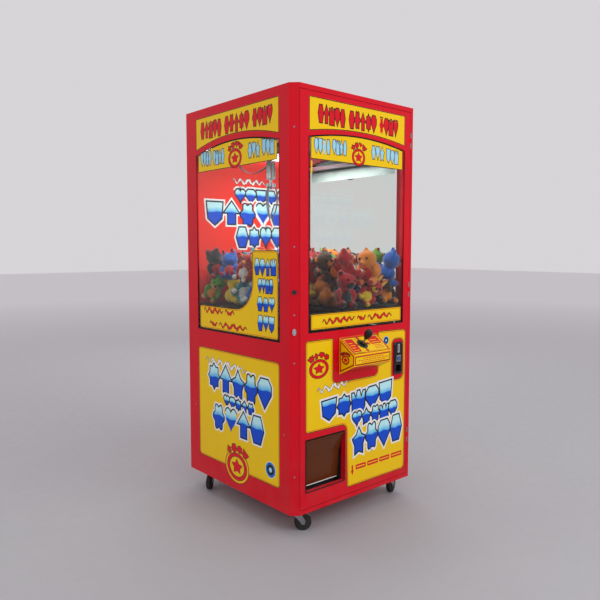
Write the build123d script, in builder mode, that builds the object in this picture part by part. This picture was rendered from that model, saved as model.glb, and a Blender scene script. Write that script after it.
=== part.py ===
from build123d import *
import os
from math import atan2, cos, degrees, pi, radians, sin, tan

# Claw crane machine: a steel cabinet on four swivel casters, with glass on three sides,
# a hinged front door that carries the controls, and a gantry crane over the prizes.
# Frame: +Z up, X across the front (left to right), Y from the front to the back,
# origin on the floor under the middle of the outer box. Millimetres.

os.makedirs("parts", exist_ok=True)

# ---------------------------------------------------------------- driving dimensions
CAB_W = 750.0             # cabinet width
CAB_D = 824.0             # cabinet depth
CAB_H = 1800.0            # cabinet height without casters
SHEET = 2.0               # folded steel sheet
SIDE_T = 15.0             # depth of the folded side and back panels
CORNER = 31.0             # legs of the front left corner post
TOP_LIP = 21.0            # roof's front lip
BASE_LIP = 19.0           # base tray's front lip
DOOR_T = 20.0             # depth of the folded door
DOOR_GAP = 2.0            # gap round the door
FIT = 0.3                 # clearance between loose neighbours
RUN_FIT = 0.05            # radial clearance of a pin in its bore
GLASS_T = 5.0             # toughened glass
GLASS_LAP = 8.0           # glass hidden behind the edge of its window

# door window, chute opening and their margins from the cabinet's edges
WIN_LEFT = 83.0
WIN_RIGHT = 60.0
WIN_SILL = 780.0          # above the cabinet's underside
WIN_SPRING = 1592.0
WIN_RISE = 30.0
CHUTE_LEFT = 67.0
CHUTE_W = 230.0
CHUTE_Z = 92.0
CHUTE_H = 226.0
REVEAL_D = 20.0

# side windows
SIDE_WIN_FRONT = 94.0
SIDE_WIN_BACK = 91.0
SIDE_WIN_SILL = 738.0
SIDE_WIN_SPRING = 1583.0
SIDE_WIN_RISE = 39.0

# control box on the door
BOX_LEFT = 264.0
BOX_W = 236.0
BOX_TOP = 742.0
BOX_REACH = 92.0
BOX_LIP_TOP = 677.0
BOX_LIP_LOW = 625.0
BOX_FOOT = 579.0
PANEL_T = 3.0
STICK_X = 97.0            # from the box's left side
STICK_BACK = 46.0         # in front of the door
STICK_R = 5.0
STICK_H = 82.0            # tip above the panel
STICK_PIVOT = 20.0        # pivot below the panel
STICK_SWAY = 12.0         # degrees each way
STICK_HOLE_R = 16.0
BAT_R = 17.0
BAT_H = 48.0
BAT_WAIST = 0.42          # height of the widest ring, as a share of the bat

# coin unit on the door
COIN_LEFT = 628.0
COIN_W = 62.0
COIN_Z = 530.0
COIN_H = 155.0
COIN_T = 5.0
SLOT_W = 3.2
SLOT_H = 30.0
BUTTON_W = 24.0
BUTTON_H = 22.0
BUTTON_Z = 606.0
BUTTON_OUT = 5.0
BUTTON_STROKE = 4.0
CUP_W = 36.0
CUP_H = 34.0
CUP_Z = 541.0
CUP_DEEP = 30.0
MECH_DEEP = 62.0

# play field and chute
DECK_Z = 850.0
DECK_T = 6.0
SHAFT_W = 240.0           # inside width of the prize shaft
SHAFT_D = 226.0
SHAFT_X = 60.0
SHAFT_GAP = 6.0           # between the door and the shaft's inside
GUARD_T = 4.0
GUARD_TOP = 995.0
RAMP_RISE = 60.0
SHAFT_SILL = 25.0          # shaft's foot below the prize opening
SHAFT_LAP = 10.0           # shaft's front wall above the prize opening

# crane
CEILING_Z = 1650.0
RAIL_W = 14.0
RAIL_H = 20.0
RAIL_Z = 1560.0
RAIL_INSET = 48.0
TRUCK_L = 96.0
TRUCK_H = 30.0
BRIDGE_ROD_R = 5.0
BRIDGE_PITCH = 60.0
CARRIAGE_L = 96.0
CARRIAGE_H = 40.0
CLAW_X = 170.0            # rest place of the claw, from the left side
CLAW_Y = 362.0            # and from the front
DRUM_R = 14.0
DRUM_L = 26.0
SPINDLE_R = 3.0
CORD_R = 1.2
CLAW_TOP = 1535.0
HEAD_R = 22.0
HEAD_H = 82.0
HUB_H = 34.0
FINGER_PIVOT_R = 20.0
FINGER_PIN_R = 2.0
FINGER_T = 3.0
FINGER_REACH = 34.0
FINGER_TIP_Z = 1270.0
CLAW_TIP_R = 5.0
COLLAR_R = 9.0
COLLAR_STROKE = 12.0
BRIDGE_BACK = 300.0       # travel of the bridge from rest
BRIDGE_FRONT = 190.0
CARRIAGE_RIGHT = 440.0
CARRIAGE_LEFT = 5.0
HOIST_DROP = 120.0
CABLE_W = 14.0
CABLE_T = 2.5
CLIP_D = 16.0

# locks on the corner post
LOCK_Z = 953.0
LOCK_R = 10.0
LATCH_Z = 787.0
LATCH_W = 8.0
LATCH_L = 29.0
SCREW_Z = (1624.0, 1140.0, 858.0, 656.0, 169.0)
SCREW_R = 4.0
SCREW_H = 2.0

# hinge of the door
KNUCKLE_R = 3.5
KNUCKLE_L = 24.0
HINGE_PIN_R = 1.6
HINGE_Z = (180.0, 900.0, 1610.0)

# casters
CASTER_INSET_X = 68.0
CASTER_INSET_FRONT = 70.0
CASTER_INSET_BACK = 89.0
WHEEL_R = 37.5
WHEEL_ROOM = 5.7          # between the wheel and the fork's crown
WHEEL_W = 22.0
TRAIL = 32.0
PLATE_SIDE = 62.0
PLATE_T = 3.0
RACE_R = 21.0
RACE_H = 7.0
FORK_T = 3.0
FORK_GAP = 2.0            # between the wheel and each leg
CROWN_T = 4.0
AXLE_R = 4.0
AXLE_HEAD_R = 6.5
KINGPIN_R = 5.0
PEDAL_T = 3.0
CASTER_TURN = {"fl": -38.0, "fr": 17.0, "rl": 220.0, "rr": 127.0}

# ---------------------------------------------------------------- places from the sizes
SLOPE = atan2(BOX_TOP - BOX_LIP_TOP, BOX_REACH)
BAT_MIDDLE = STICK_H - BAT_H * (1 - BAT_WAIST)
REACH = STICK_BACK + sin(SLOPE) * BAT_MIDDLE + BAT_R
LEFT = -CAB_W / 2
RIGHT = CAB_W / 2
FRONT = -(CAB_D - REACH) / 2
BACK = FRONT + CAB_D
CASTER_H = 2 * WHEEL_R + WHEEL_ROOM + CROWN_T + FIT + RACE_H + PLATE_T
BASE = CASTER_H           # height of the cabinet's underside
TOP = BASE + CAB_H
INNER_LEFT = LEFT + SIDE_T
INNER_RIGHT = RIGHT - SIDE_T
INNER_BACK = BACK - SIDE_T
DOOR_BACK = FRONT + DOOR_T
DOOR_LEFT = LEFT + CORNER + DOOR_GAP
DOOR_RIGHT = INNER_RIGHT - DOOR_GAP
DOOR_LOW = BASE + BASE_LIP + DOOR_GAP
DOOR_TOP = TOP - TOP_LIP - DOOR_GAP
HINGE_X = DOOR_RIGHT + DOOR_GAP / 2
KNUCKLE_POCKET = KNUCKLE_R + 2 * FIT
DECK_TOP = BASE + DECK_Z + DECK_T


RAIL_TOP = BASE + RAIL_Z + RAIL_H
BRIDGE_Y = FRONT + CLAW_Y
BRIDGE_Z = RAIL_TOP + FIT + TRUCK_H / 2
CARRIAGE_X = LEFT + CLAW_X

# the trailing cable hangs in a loop from the bridge to a clip under the ceiling
CABLE_X = CARRIAGE_X + CARRIAGE_L / 2 + 22.0
CABLE_ROUTE = (
    (0.0, 0.0),
    (21.0, -13.0),
    (47.0, -37.0),
    (84.0, -58.0),
    (128.0, -71.0),
    (176.0, -74.0),
    (225.0, -66.0),
    (270.0, -46.0),
    (303.0, -16.0),
    (320.0, 22.0),
)
CABLE_START = Vector(BRIDGE_Y + TRUCK_L / 2 + CABLE_T, BRIDGE_Z - 16.0)
route = [CABLE_START + Vector(dy, dz) for dy, dz in CABLE_ROUTE]
CABLE_END = route[-1]


def save(piece, name):
    """Name a finished piece and write it to its own file."""
    piece.part.label = name
    export_step(piece.part, f"parts/{name}.step")


def bar(x0, x1, y0, y1, z0, z1, mode=Mode.ADD):
    """Add or cut a block between two corners."""
    with BuildSketch(Plane.XY.offset(z0)) as plan:
        with Locations(((x0 + x1) / 2, (y0 + y1) / 2)):
            Rectangle(x1 - x0, y1 - y0)
    extrude(plan.sketch, amount=z1 - z0, mode=mode)


def rod(start, direction, radius, length, mode=Mode.ADD):
    """Add or cut a round bar from a start point along a direction."""
    with BuildSketch(Plane(origin=start, z_dir=direction)) as section:
        Circle(radius)
    extrude(section.sketch, amount=length, mode=mode)


def arched(x0, x1, z0, spring, rise, mode=Mode.ADD):
    """Draw a window with a flat sill, straight sides and an arched top."""
    with BuildLine() as edge:
        Polyline((x0, spring), (x0, z0), (x1, z0), (x1, spring))
        ThreePointArc((x1, spring), ((x0 + x1) / 2, spring + rise), (x0, spring))
    make_face(edge.edges(), mode=mode)


def box_outline(x0, x1, z0, z1, mode=Mode.ADD):
    """Draw a rectangle between two corners."""
    with Locations(((x0 + x1) / 2, (z0 + z1) / 2)):
        Rectangle(x1 - x0, z1 - z0, mode=mode)


# ---------------------------------------------------------------- cabinet shell
def hinge_axis(z, radius, length, mode=Mode.ADD):
    """Add or cut a round bar on the door's hinge axis."""
    rod((HINGE_X, FRONT, BASE + z), (0, 0, 1), radius, length, mode=mode)


def side_window(grow=0.0, mode=Mode.ADD):
    """Draw the side window in (y, z), grown all round."""
    arched(
        FRONT + SIDE_WIN_FRONT - grow,
        BACK - SIDE_WIN_BACK + grow,
        BASE + SIDE_WIN_SILL - grow,
        BASE + SIDE_WIN_SPRING + grow,
        SIDE_WIN_RISE,
        mode=mode,
    )


SIDES = {"left": (LEFT, 1, FRONT + CORNER), "right": (RIGHT, -1, FRONT)}
for side, (face_x, inward, front_y) in SIDES.items():
    skin = Plane.YZ.offset(face_x)
    with BuildPart() as side_panel:
        with BuildSketch(skin):
            box_outline(front_y, BACK, BASE, TOP)
        extrude(amount=inward * SIDE_T)
        with BuildSketch(Plane.YZ.offset(face_x + inward * SHEET)):
            box_outline(front_y + SHEET, BACK - SHEET, BASE + SHEET, TOP - SHEET)
            side_window(GLASS_LAP + FIT + SHEET, mode=Mode.SUBTRACT)
        extrude(amount=inward * SIDE_T, mode=Mode.SUBTRACT)
        with BuildSketch(skin):
            side_window()
        extrude(amount=inward * SIDE_T, mode=Mode.SUBTRACT)
        with BuildSketch(Plane.YZ.offset(face_x + inward * SHEET)):
            side_window(GLASS_LAP + FIT)
        extrude(amount=inward * SIDE_T, mode=Mode.SUBTRACT)
        if side == "right":
            for hinge_z in HINGE_Z:
                bar(HINGE_X, HINGE_X + KNUCKLE_POCKET, FRONT, FRONT + KNUCKLE_POCKET,
                    BASE + hinge_z - FIT, BASE + hinge_z + 3 * KNUCKLE_L + FIT, mode=Mode.SUBTRACT)
    save(side_panel, f"{side}_side_panel")

    with BuildPart() as side_glass:
        with BuildSketch(Plane.YZ.offset(face_x + inward * SHEET)):
            side_window(GLASS_LAP)
        extrude(amount=inward * GLASS_T)
    save(side_glass, f"{side}_glass")

INLET_X = LEFT + 150.0
INLET_Z = BASE + 190.0
INLET_W = 48.0
INLET_H = 62.0

with BuildPart() as back_panel:
    with BuildSketch(Plane.XZ.offset(-BACK)):
        box_outline(INNER_LEFT, INNER_RIGHT, BASE, TOP)
    extrude(amount=SIDE_T)
    with BuildSketch(Plane.XZ.offset(-(BACK - SHEET))):
        box_outline(INNER_LEFT + SHEET, INNER_RIGHT - SHEET, BASE + SHEET, TOP - SHEET)
    extrude(amount=SIDE_T, mode=Mode.SUBTRACT)
    with BuildSketch(Plane.XZ.offset(-BACK)):
        box_outline(INLET_X, INLET_X + INLET_W, INLET_Z, INLET_Z + INLET_H)
    extrude(amount=SIDE_T, mode=Mode.SUBTRACT)
save(back_panel, "back_panel")

# the chamfer's middle and its outward direction
CHAMFER_X = LEFT + CORNER / 2
CHAMFER_Y = FRONT + CORNER / 2
OUT = Vector(-1, -1, 0).normalized()
LOCK_SHAFT_R = 6.0
LOCK_DEEP = 6.0


def chamfer_point(z, out=0.0):
    """Return the point in the middle of the chamfer, some way out of its face."""
    return Vector(CHAMFER_X, CHAMFER_Y, BASE + z) + OUT * out


with BuildPart() as corner_post:
    with BuildSketch(Plane.XY.offset(BASE)):
        with BuildLine():
            Polyline(
                (LEFT, FRONT + CORNER),
                (LEFT + CORNER, FRONT),
                (LEFT + CORNER, FRONT + CORNER),
                close=True,
            )
        make_face()
    extrude(amount=CAB_H)
    with BuildSketch(Plane.XY.offset(BASE + SHEET)):
        with BuildLine():
            Polyline(
                (LEFT + SHEET * tan(radians(67.5)), FRONT + CORNER - SHEET),
                (LEFT + CORNER - SHEET, FRONT + SHEET * tan(radians(67.5))),
                (LEFT + CORNER - SHEET, FRONT + CORNER - SHEET),
                close=True,
            )
        make_face()
    extrude(amount=CAB_H - 2 * SHEET, mode=Mode.SUBTRACT)

    for lock_z in (LOCK_Z, LATCH_Z):
        rod(chamfer_point(lock_z, 1.0), -OUT, LOCK_SHAFT_R + RUN_FIT, LOCK_DEEP + 2.0,
            mode=Mode.SUBTRACT)
save(corner_post, "corner_post")

with BuildPart() as post_screws:
    for screw_z in SCREW_Z:
        rod(chamfer_point(screw_z), OUT, SCREW_R, SCREW_H)
    fillet(post_screws.edges().filter_by(GeomType.CIRCLE).group_by(Axis((0, 0, 0), OUT))[-1],
           radius=SCREW_H * 0.6)
save(post_screws, "post_screws")

with BuildPart() as lock_plug:
    rod(chamfer_point(LOCK_Z, FIT), OUT, LOCK_R, 4.0)
    rod(chamfer_point(LOCK_Z, FIT), -OUT, LOCK_SHAFT_R, LOCK_DEEP)
    rod(chamfer_point(LOCK_Z, FIT + 1.5), OUT, LOCK_R * 0.62, 4.0, mode=Mode.SUBTRACT)
    rod(chamfer_point(LOCK_Z, FIT + 1.5), OUT, LOCK_R * 0.45, 2.0)
save(lock_plug, "cam_lock")

with BuildPart() as door_latch:
    rod(chamfer_point(LATCH_Z, FIT), -OUT, LOCK_SHAFT_R, LOCK_DEEP)
    with BuildSketch(Plane(origin=chamfer_point(LATCH_Z, FIT), z_dir=OUT, x_dir=(0, 0, 1))):
        Ellipse(LATCH_L / 2, LATCH_W)
    extrude(amount=2.5)
    with BuildSketch(Plane(origin=chamfer_point(LATCH_Z, FIT + 2.5), z_dir=OUT, x_dir=(0, 0, 1))):
        SlotOverall(LATCH_L * 0.8, LATCH_W * 0.6)
    extrude(amount=7.0)
save(door_latch, "latch_handle")

with BuildPart() as roof_panel:
    with BuildSketch(Plane.XY.offset(TOP - TOP_LIP)):
        with BuildLine():
            Polyline(
                (LEFT + CORNER, FRONT),
                (INNER_RIGHT, FRONT),
                (INNER_RIGHT, INNER_BACK),
                (INNER_LEFT, INNER_BACK),
                (INNER_LEFT, FRONT + CORNER),
                (LEFT + CORNER, FRONT + CORNER),
                close=True,
            )
        make_face()
    extrude(amount=TOP_LIP)
    bar(LEFT + CORNER + SHEET, INNER_RIGHT - SHEET, FRONT + SHEET, INNER_BACK - SHEET,
        TOP - TOP_LIP, TOP - SHEET, mode=Mode.SUBTRACT)
    bar(INNER_LEFT + SHEET, LEFT + CORNER + SHEET, FRONT + CORNER + SHEET, INNER_BACK - SHEET,
        TOP - TOP_LIP, TOP - SHEET, mode=Mode.SUBTRACT)
save(roof_panel, "roof_panel")

with BuildPart() as base_tray:
    with BuildSketch(Plane.XY.offset(BASE)):
        with BuildLine():
            Polyline(
                (LEFT + CORNER, FRONT),
                (INNER_RIGHT, FRONT),
                (INNER_RIGHT, INNER_BACK),
                (INNER_LEFT, INNER_BACK),
                (INNER_LEFT, FRONT + CORNER),
                (LEFT + CORNER, FRONT + CORNER),
                close=True,
            )
        make_face()
    extrude(amount=BASE_LIP)
    bar(LEFT + CORNER + SHEET, INNER_RIGHT - SHEET, FRONT + SHEET, INNER_BACK - SHEET,
        BASE + SHEET, BASE + BASE_LIP, mode=Mode.SUBTRACT)
    bar(INNER_LEFT + SHEET, LEFT + CORNER + SHEET, FRONT + CORNER + SHEET, INNER_BACK - SHEET,
        BASE + SHEET, BASE + BASE_LIP, mode=Mode.SUBTRACT)
save(base_tray, "base_tray")

# ---------------------------------------------------------------- play field, shaft and ceiling
def notch_for_post(z0, z1):
    """Cut the front left corner of a level panel clear of the post."""
    bar(LEFT, LEFT + CORNER + FIT, FRONT, FRONT + CORNER + FIT, z0, z1, mode=Mode.SUBTRACT)


SHAFT_LEFT = LEFT + SHAFT_X
SHAFT_RIGHT = SHAFT_LEFT + SHAFT_W
SHAFT_FRONT = DOOR_BACK + SHAFT_GAP
SHAFT_BACK = SHAFT_FRONT + SHAFT_D

with BuildPart() as playfield_deck:
    for x0, x1, y0, y1 in (
        (INNER_LEFT + FIT, SHAFT_LEFT, DOOR_BACK + FIT, SHAFT_BACK),
        (SHAFT_LEFT + FIT, SHAFT_RIGHT - FIT, DOOR_BACK + FIT, SHAFT_FRONT),
        (SHAFT_RIGHT, INNER_RIGHT - FIT, DOOR_BACK + FIT, SHAFT_BACK),
        (INNER_LEFT + FIT, INNER_RIGHT - FIT, SHAFT_BACK + FIT, INNER_BACK - FIT),
    ):
        bar(x0, x1, y0, y1, DECK_TOP - DECK_T, DECK_TOP)
    notch_for_post(DECK_TOP - DECK_T, DECK_TOP)
save(playfield_deck, "playfield_deck")

with BuildPart() as chute_guard:
    bar(SHAFT_LEFT, SHAFT_RIGHT + GUARD_T, SHAFT_BACK, SHAFT_BACK + GUARD_T,
        DECK_TOP, BASE + GUARD_TOP)
    bar(SHAFT_RIGHT, SHAFT_RIGHT + GUARD_T, SHAFT_FRONT, SHAFT_BACK, DECK_TOP, BASE + GUARD_TOP)
save(chute_guard, "chute_guard")

CHUTE_TOP = CHUTE_Z + CHUTE_H
SHAFT_LOW = BASE + CHUTE_Z - SHAFT_SILL
SHAFT_TOP = DECK_TOP - DECK_T
with BuildPart() as chute_shaft:
    for wall_x in (SHAFT_LEFT - SHEET, SHAFT_RIGHT):
        bar(wall_x, wall_x + SHEET, SHAFT_FRONT - SHEET, SHAFT_BACK + SHEET, SHAFT_LOW, SHAFT_TOP)
    bar(SHAFT_LEFT + FIT, SHAFT_RIGHT - FIT, SHAFT_BACK, SHAFT_BACK + SHEET, SHAFT_LOW, SHAFT_TOP)
    bar(SHAFT_LEFT + FIT, SHAFT_RIGHT - FIT, SHAFT_FRONT - SHEET, SHAFT_FRONT,
        BASE + CHUTE_TOP + SHAFT_LAP, SHAFT_TOP)
    with BuildSketch(Plane.YZ.offset(SHAFT_LEFT + FIT)):
        with BuildLine():
            Polyline(
                (SHAFT_FRONT, SHAFT_LOW),
                (SHAFT_BACK - FIT, SHAFT_LOW + RAMP_RISE),
                (SHAFT_BACK - FIT, SHAFT_LOW + RAMP_RISE + SHEET),
                (SHAFT_FRONT, SHAFT_LOW + SHEET),
                close=True,
            )
        make_face()
    extrude(amount=SHAFT_W - 2 * FIT)
save(chute_shaft, "chute_shaft")

with BuildPart() as ceiling_panel:
    bar(INNER_LEFT + FIT, INNER_RIGHT - FIT, DOOR_BACK + FIT, INNER_BACK - FIT,
        BASE + CEILING_Z, BASE + CEILING_Z + SIDE_T)
    bar(INNER_LEFT + SHEET, INNER_RIGHT - SHEET, DOOR_BACK + SHEET, INNER_BACK - SHEET,
        BASE + CEILING_Z + SHEET, BASE + CEILING_Z + SIDE_T, mode=Mode.SUBTRACT)
    notch_for_post(BASE + CEILING_Z, BASE + CEILING_Z + SIDE_T)
    bar(CABLE_X - CABLE_W, CABLE_X + CABLE_W, CABLE_END.X - CABLE_T, CABLE_END.X + CLIP_D,
        CABLE_END.Y + CABLE_T, BASE + CEILING_Z)
save(ceiling_panel, "ceiling_panel")

LAMP_R = 13.0
LAMP_END = 60.0
LAMP_DROP = 22.0
with BuildPart() as lamp_tubes:
    for lamp_y in (DOOR_BACK + 28.0, INNER_BACK - 28.0):
        rod((LEFT + LAMP_END, lamp_y, BASE + CEILING_Z - LAMP_DROP), (1, 0, 0), LAMP_R,
            CAB_W - 2 * LAMP_END)
        for end_x in (LEFT + LAMP_END, RIGHT - LAMP_END - 20.0):
            bar(end_x, end_x + 20.0, lamp_y - LAMP_R - 2.0, lamp_y + LAMP_R + 2.0,
                BASE + CEILING_Z - LAMP_DROP - LAMP_R - 2.0, BASE + CEILING_Z)
save(lamp_tubes, "lamp_tubes")

# ---------------------------------------------------------------- works below the play field
with BuildPart() as cash_box:
    bar(RIGHT - 150.0, RIGHT - 40.0, FRONT + 110.0, FRONT + 300.0, BASE + SHEET, BASE + 150.0)
    bar(RIGHT - 147.0, RIGHT - 43.0, FRONT + 113.0, FRONT + 297.0, BASE + SHEET + 3.0, BASE + 151.0,
        mode=Mode.SUBTRACT)
save(cash_box, "cash_box")

with BuildPart() as power_supply:
    bar(LEFT + 60.0, LEFT + 260.0, BACK - 190.0, BACK - 90.0, BASE + SHEET, BASE + 60.0)
    chamfer(power_supply.edges().filter_by(Axis.Z), length=4.0)
save(power_supply, "power_supply")

with BuildPart() as control_board:
    bar(RIGHT - 40.0, RIGHT - 38.0, BACK - 330.0, BACK - 110.0, BASE + 300.0, BASE + 460.0)
    for chip_y in (BACK - 300.0, BACK - 220.0, BACK - 160.0):
        bar(RIGHT - 52.0, RIGHT - 40.0, chip_y, chip_y + 34.0, BASE + 330.0, BASE + 364.0)
    for post_y in (BACK - 322.0, BACK - 118.0):
        for post_z in (BASE + 308.0, BASE + 452.0):
            rod((RIGHT - 38.0, post_y, post_z), (1, 0, 0), 3.0, 36.0)
save(control_board, "control_board")

ROCKER_W = 20.0
ROCKER_H = 14.0
ROCKER_T = 8.0
ROCKER_SWING = 14.0
PIN_GAP = 9.0
with BuildPart() as mains_inlet:
    bar(INLET_X + FIT, INLET_X + INLET_W - FIT, BACK - 40.0, BACK - 1.0,
        INLET_Z + FIT, INLET_Z + INLET_H - FIT)
    bar(INLET_X + 10.0, INLET_X + INLET_W - 10.0, BACK - 22.0, BACK, INLET_Z + 6.0, INLET_Z + 28.0,
        mode=Mode.SUBTRACT)
    for pin_x in (-PIN_GAP, 0.0, PIN_GAP):
        rod((INLET_X + INLET_W / 2 + pin_x, BACK - 22.0, INLET_Z + 17.0), (0, 1, 0), 1.5, 14.0)
    bar(INLET_X + (INLET_W - ROCKER_W) / 2 - FIT, INLET_X + (INLET_W + ROCKER_W) / 2 + FIT,
        BACK - 16.0, BACK, INLET_Z + 36.0, INLET_Z + 56.0, mode=Mode.SUBTRACT)
    rod((INLET_X + (INLET_W - ROCKER_W) / 2 - 4.0, BACK - 8.0, INLET_Z + 46.0), (1, 0, 0),
        1.5 + RUN_FIT, ROCKER_W + 8.0, mode=Mode.SUBTRACT)
save(mains_inlet, "mains_inlet")

ROCKER_X = INLET_X + INLET_W / 2
ROCKER_Y = BACK - 8.0
ROCKER_Z = INLET_Z + 46.0
with BuildPart() as power_rocker:
    bar(ROCKER_X - ROCKER_W / 2, ROCKER_X + ROCKER_W / 2, ROCKER_Y - 3.0, ROCKER_Y + 4.5,
        ROCKER_Z - ROCKER_H / 2, ROCKER_Z + ROCKER_H / 2)
    rod((ROCKER_X - ROCKER_W / 2 - 3.0, ROCKER_Y, ROCKER_Z), (1, 0, 0), 1.5, ROCKER_W + 6.0)
save(power_rocker, "power_rocker")

# ---------------------------------------------------------------- door
WINDOW = (LEFT + WIN_LEFT, RIGHT - WIN_RIGHT, BASE + WIN_SILL, BASE + WIN_SPRING)
CHUTE = (LEFT + CHUTE_LEFT, LEFT + CHUTE_LEFT + CHUTE_W, BASE + CHUTE_Z, BASE + CHUTE_TOP)
COIN_HOLE = (LEFT + COIN_LEFT + 4.0, LEFT + COIN_LEFT + COIN_W - 4.0,
             BASE + COIN_Z + 4.0, BASE + COIN_Z + COIN_H - 4.0)


def door_window(grow=0.0, mode=Mode.ADD):
    """Draw the door window in (x, z), grown all round."""
    x0, x1, z0, spring = WINDOW
    arched(x0 - grow, x1 + grow, z0 - grow, spring + grow, WIN_RISE, mode=mode)


def chute_outline(grow=0.0, mode=Mode.ADD):
    """Draw the prize opening in (x, z), grown all round."""
    x0, x1, z0, z1 = CHUTE
    box_outline(x0 - grow, x1 + grow, z0 - grow, z1 + grow, mode=mode)


with BuildPart() as door_frame:
    with BuildSketch(Plane.XZ.offset(-FRONT)):
        box_outline(DOOR_LEFT, DOOR_RIGHT, DOOR_LOW, DOOR_TOP)
    extrude(amount=-DOOR_T)
    with BuildSketch(Plane.XZ.offset(-(FRONT + SHEET))):
        box_outline(DOOR_LEFT + SHEET, DOOR_RIGHT - SHEET, DOOR_LOW + SHEET, DOOR_TOP - SHEET)
        door_window(GLASS_LAP + FIT + SHEET, mode=Mode.SUBTRACT)
        chute_outline(SHEET, mode=Mode.SUBTRACT)
    extrude(amount=-DOOR_T, mode=Mode.SUBTRACT)
    with BuildSketch(Plane.XZ.offset(-FRONT)):
        door_window()
        chute_outline()
        box_outline(*COIN_HOLE)
    extrude(amount=-DOOR_T, mode=Mode.SUBTRACT)
    with BuildSketch(Plane.XZ.offset(-(FRONT + SHEET))):
        door_window(GLASS_LAP + FIT)
    extrude(amount=-DOOR_T, mode=Mode.SUBTRACT)
    for hinge_z in HINGE_Z:
        hinge_axis(hinge_z - FIT, KNUCKLE_POCKET, 3 * KNUCKLE_L + 2 * FIT, mode=Mode.SUBTRACT)
    for hinge_z in HINGE_Z:
        hinge_axis(hinge_z + KNUCKLE_L + FIT, KNUCKLE_R, KNUCKLE_L - 2 * FIT)
        bar(HINGE_X - KNUCKLE_R - 3.0, HINGE_X, FRONT, FRONT + SHEET,
            BASE + hinge_z + KNUCKLE_L + FIT, BASE + hinge_z + 2 * KNUCKLE_L - FIT)
        hinge_axis(hinge_z, HINGE_PIN_R + RUN_FIT, 3 * KNUCKLE_L, mode=Mode.SUBTRACT)
save(door_frame, "door_frame")

with BuildPart() as hinge_knuckles:
    for hinge_z in HINGE_Z:
        for knuckle_z in (hinge_z, hinge_z + 2 * KNUCKLE_L):
            hinge_axis(knuckle_z, KNUCKLE_R, KNUCKLE_L)
            bar(HINGE_X, HINGE_X + KNUCKLE_POCKET, FRONT, FRONT + SHEET,
                BASE + knuckle_z, BASE + knuckle_z + KNUCKLE_L)
        hinge_axis(hinge_z, HINGE_PIN_R, 3 * KNUCKLE_L, mode=Mode.SUBTRACT)
save(hinge_knuckles, "hinge_knuckles")

with BuildPart() as hinge_pins:
    for hinge_z in HINGE_Z:
        hinge_axis(hinge_z, HINGE_PIN_R, 3 * KNUCKLE_L)
save(hinge_pins, "hinge_pins")

with BuildPart() as door_glass:
    with BuildSketch(Plane.XZ.offset(-(FRONT + SHEET))):
        door_window(GLASS_LAP)
    extrude(amount=-GLASS_T)
save(door_glass, "door_glass")

# control box: an open-backed shell with a loose sloping panel on top
BOX_X = LEFT + BOX_LEFT


def box_profile(drop, wall):
    """Draw the control box's side profile in (y, z), lowered at the top and thinned by a wall."""
    with BuildLine() as edge:
        Polyline(
            (FRONT, BASE + BOX_TOP - drop),
            (FRONT - BOX_REACH + wall, BASE + BOX_LIP_TOP - drop + wall * tan(SLOPE)),
            (FRONT - BOX_REACH + wall, BASE + BOX_LIP_LOW + wall),
            (FRONT, BASE + BOX_FOOT + wall * 1.2),
            close=True,
        )
    make_face(edge.edges())


PANEL_DROP = PANEL_T / cos(SLOPE)
with BuildPart() as control_box:
    with BuildSketch(Plane.YZ.offset(BOX_X)):
        box_profile(PANEL_DROP, 0.0)
    extrude(amount=BOX_W)
    with BuildSketch(Plane.YZ.offset(BOX_X + SHEET)):
        box_profile(PANEL_DROP, SHEET)
    extrude(amount=BOX_W - 2 * SHEET, mode=Mode.SUBTRACT)
save(control_box, "control_box")

STICK_POINT = Vector(BOX_X + STICK_X, FRONT - STICK_BACK, BASE + BOX_TOP - STICK_BACK * tan(SLOPE))
PANEL_NORMAL = Vector(0, -sin(SLOPE), cos(SLOPE))
PANEL_UP = Vector(0, cos(SLOPE), sin(SLOPE))


def stick_point(along):
    """Return a point on the joystick's line, some way above the panel."""
    return STICK_POINT + PANEL_NORMAL * along


def panel_plane(along):
    """Return the plane parallel to the panel at the joystick, some way above it."""
    return Plane(origin=stick_point(along), x_dir=(1, 0, 0), z_dir=PANEL_NORMAL)


with BuildPart() as control_panel:
    with BuildSketch(Plane.YZ.offset(BOX_X)):
        with BuildLine():
            Polyline(
                (FRONT, BASE + BOX_TOP),
                (FRONT - BOX_REACH, BASE + BOX_LIP_TOP),
                (FRONT - BOX_REACH, BASE + BOX_LIP_TOP - PANEL_DROP),
                (FRONT, BASE + BOX_TOP - PANEL_DROP),
                close=True,
            )
        make_face()
    extrude(amount=BOX_W)
    rod(stick_point(5.0), -PANEL_NORMAL, STICK_HOLE_R, 12.0, mode=Mode.SUBTRACT)
save(control_panel, "control_panel")

HOUSING_OUT = 44.0
HOUSING_IN = 36.0
HOUSING_DEEP = 34.0
GIMBAL_R = 14.0
GIMBAL_BORE = 9.0
GIMBAL_H = 8.0
TRUNNION_R = 3.0
with BuildPart() as joystick_housing:
    with BuildSketch(panel_plane(-PANEL_T)):
        Rectangle(HOUSING_OUT + 22.0, HOUSING_OUT + 14.0)
        Circle(STICK_HOLE_R, mode=Mode.SUBTRACT)
    extrude(amount=-SHEET)
    with BuildSketch(panel_plane(-PANEL_T - SHEET)):
        Rectangle(HOUSING_OUT, HOUSING_OUT)
        Rectangle(HOUSING_IN, HOUSING_IN, mode=Mode.SUBTRACT)
    extrude(amount=-HOUSING_DEEP)
    rod(stick_point(-STICK_PIVOT) - Vector(HOUSING_OUT, 0, 0), (1, 0, 0), TRUNNION_R + RUN_FIT,
        2 * HOUSING_OUT, mode=Mode.SUBTRACT)
save(joystick_housing, "joystick_housing")

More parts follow.
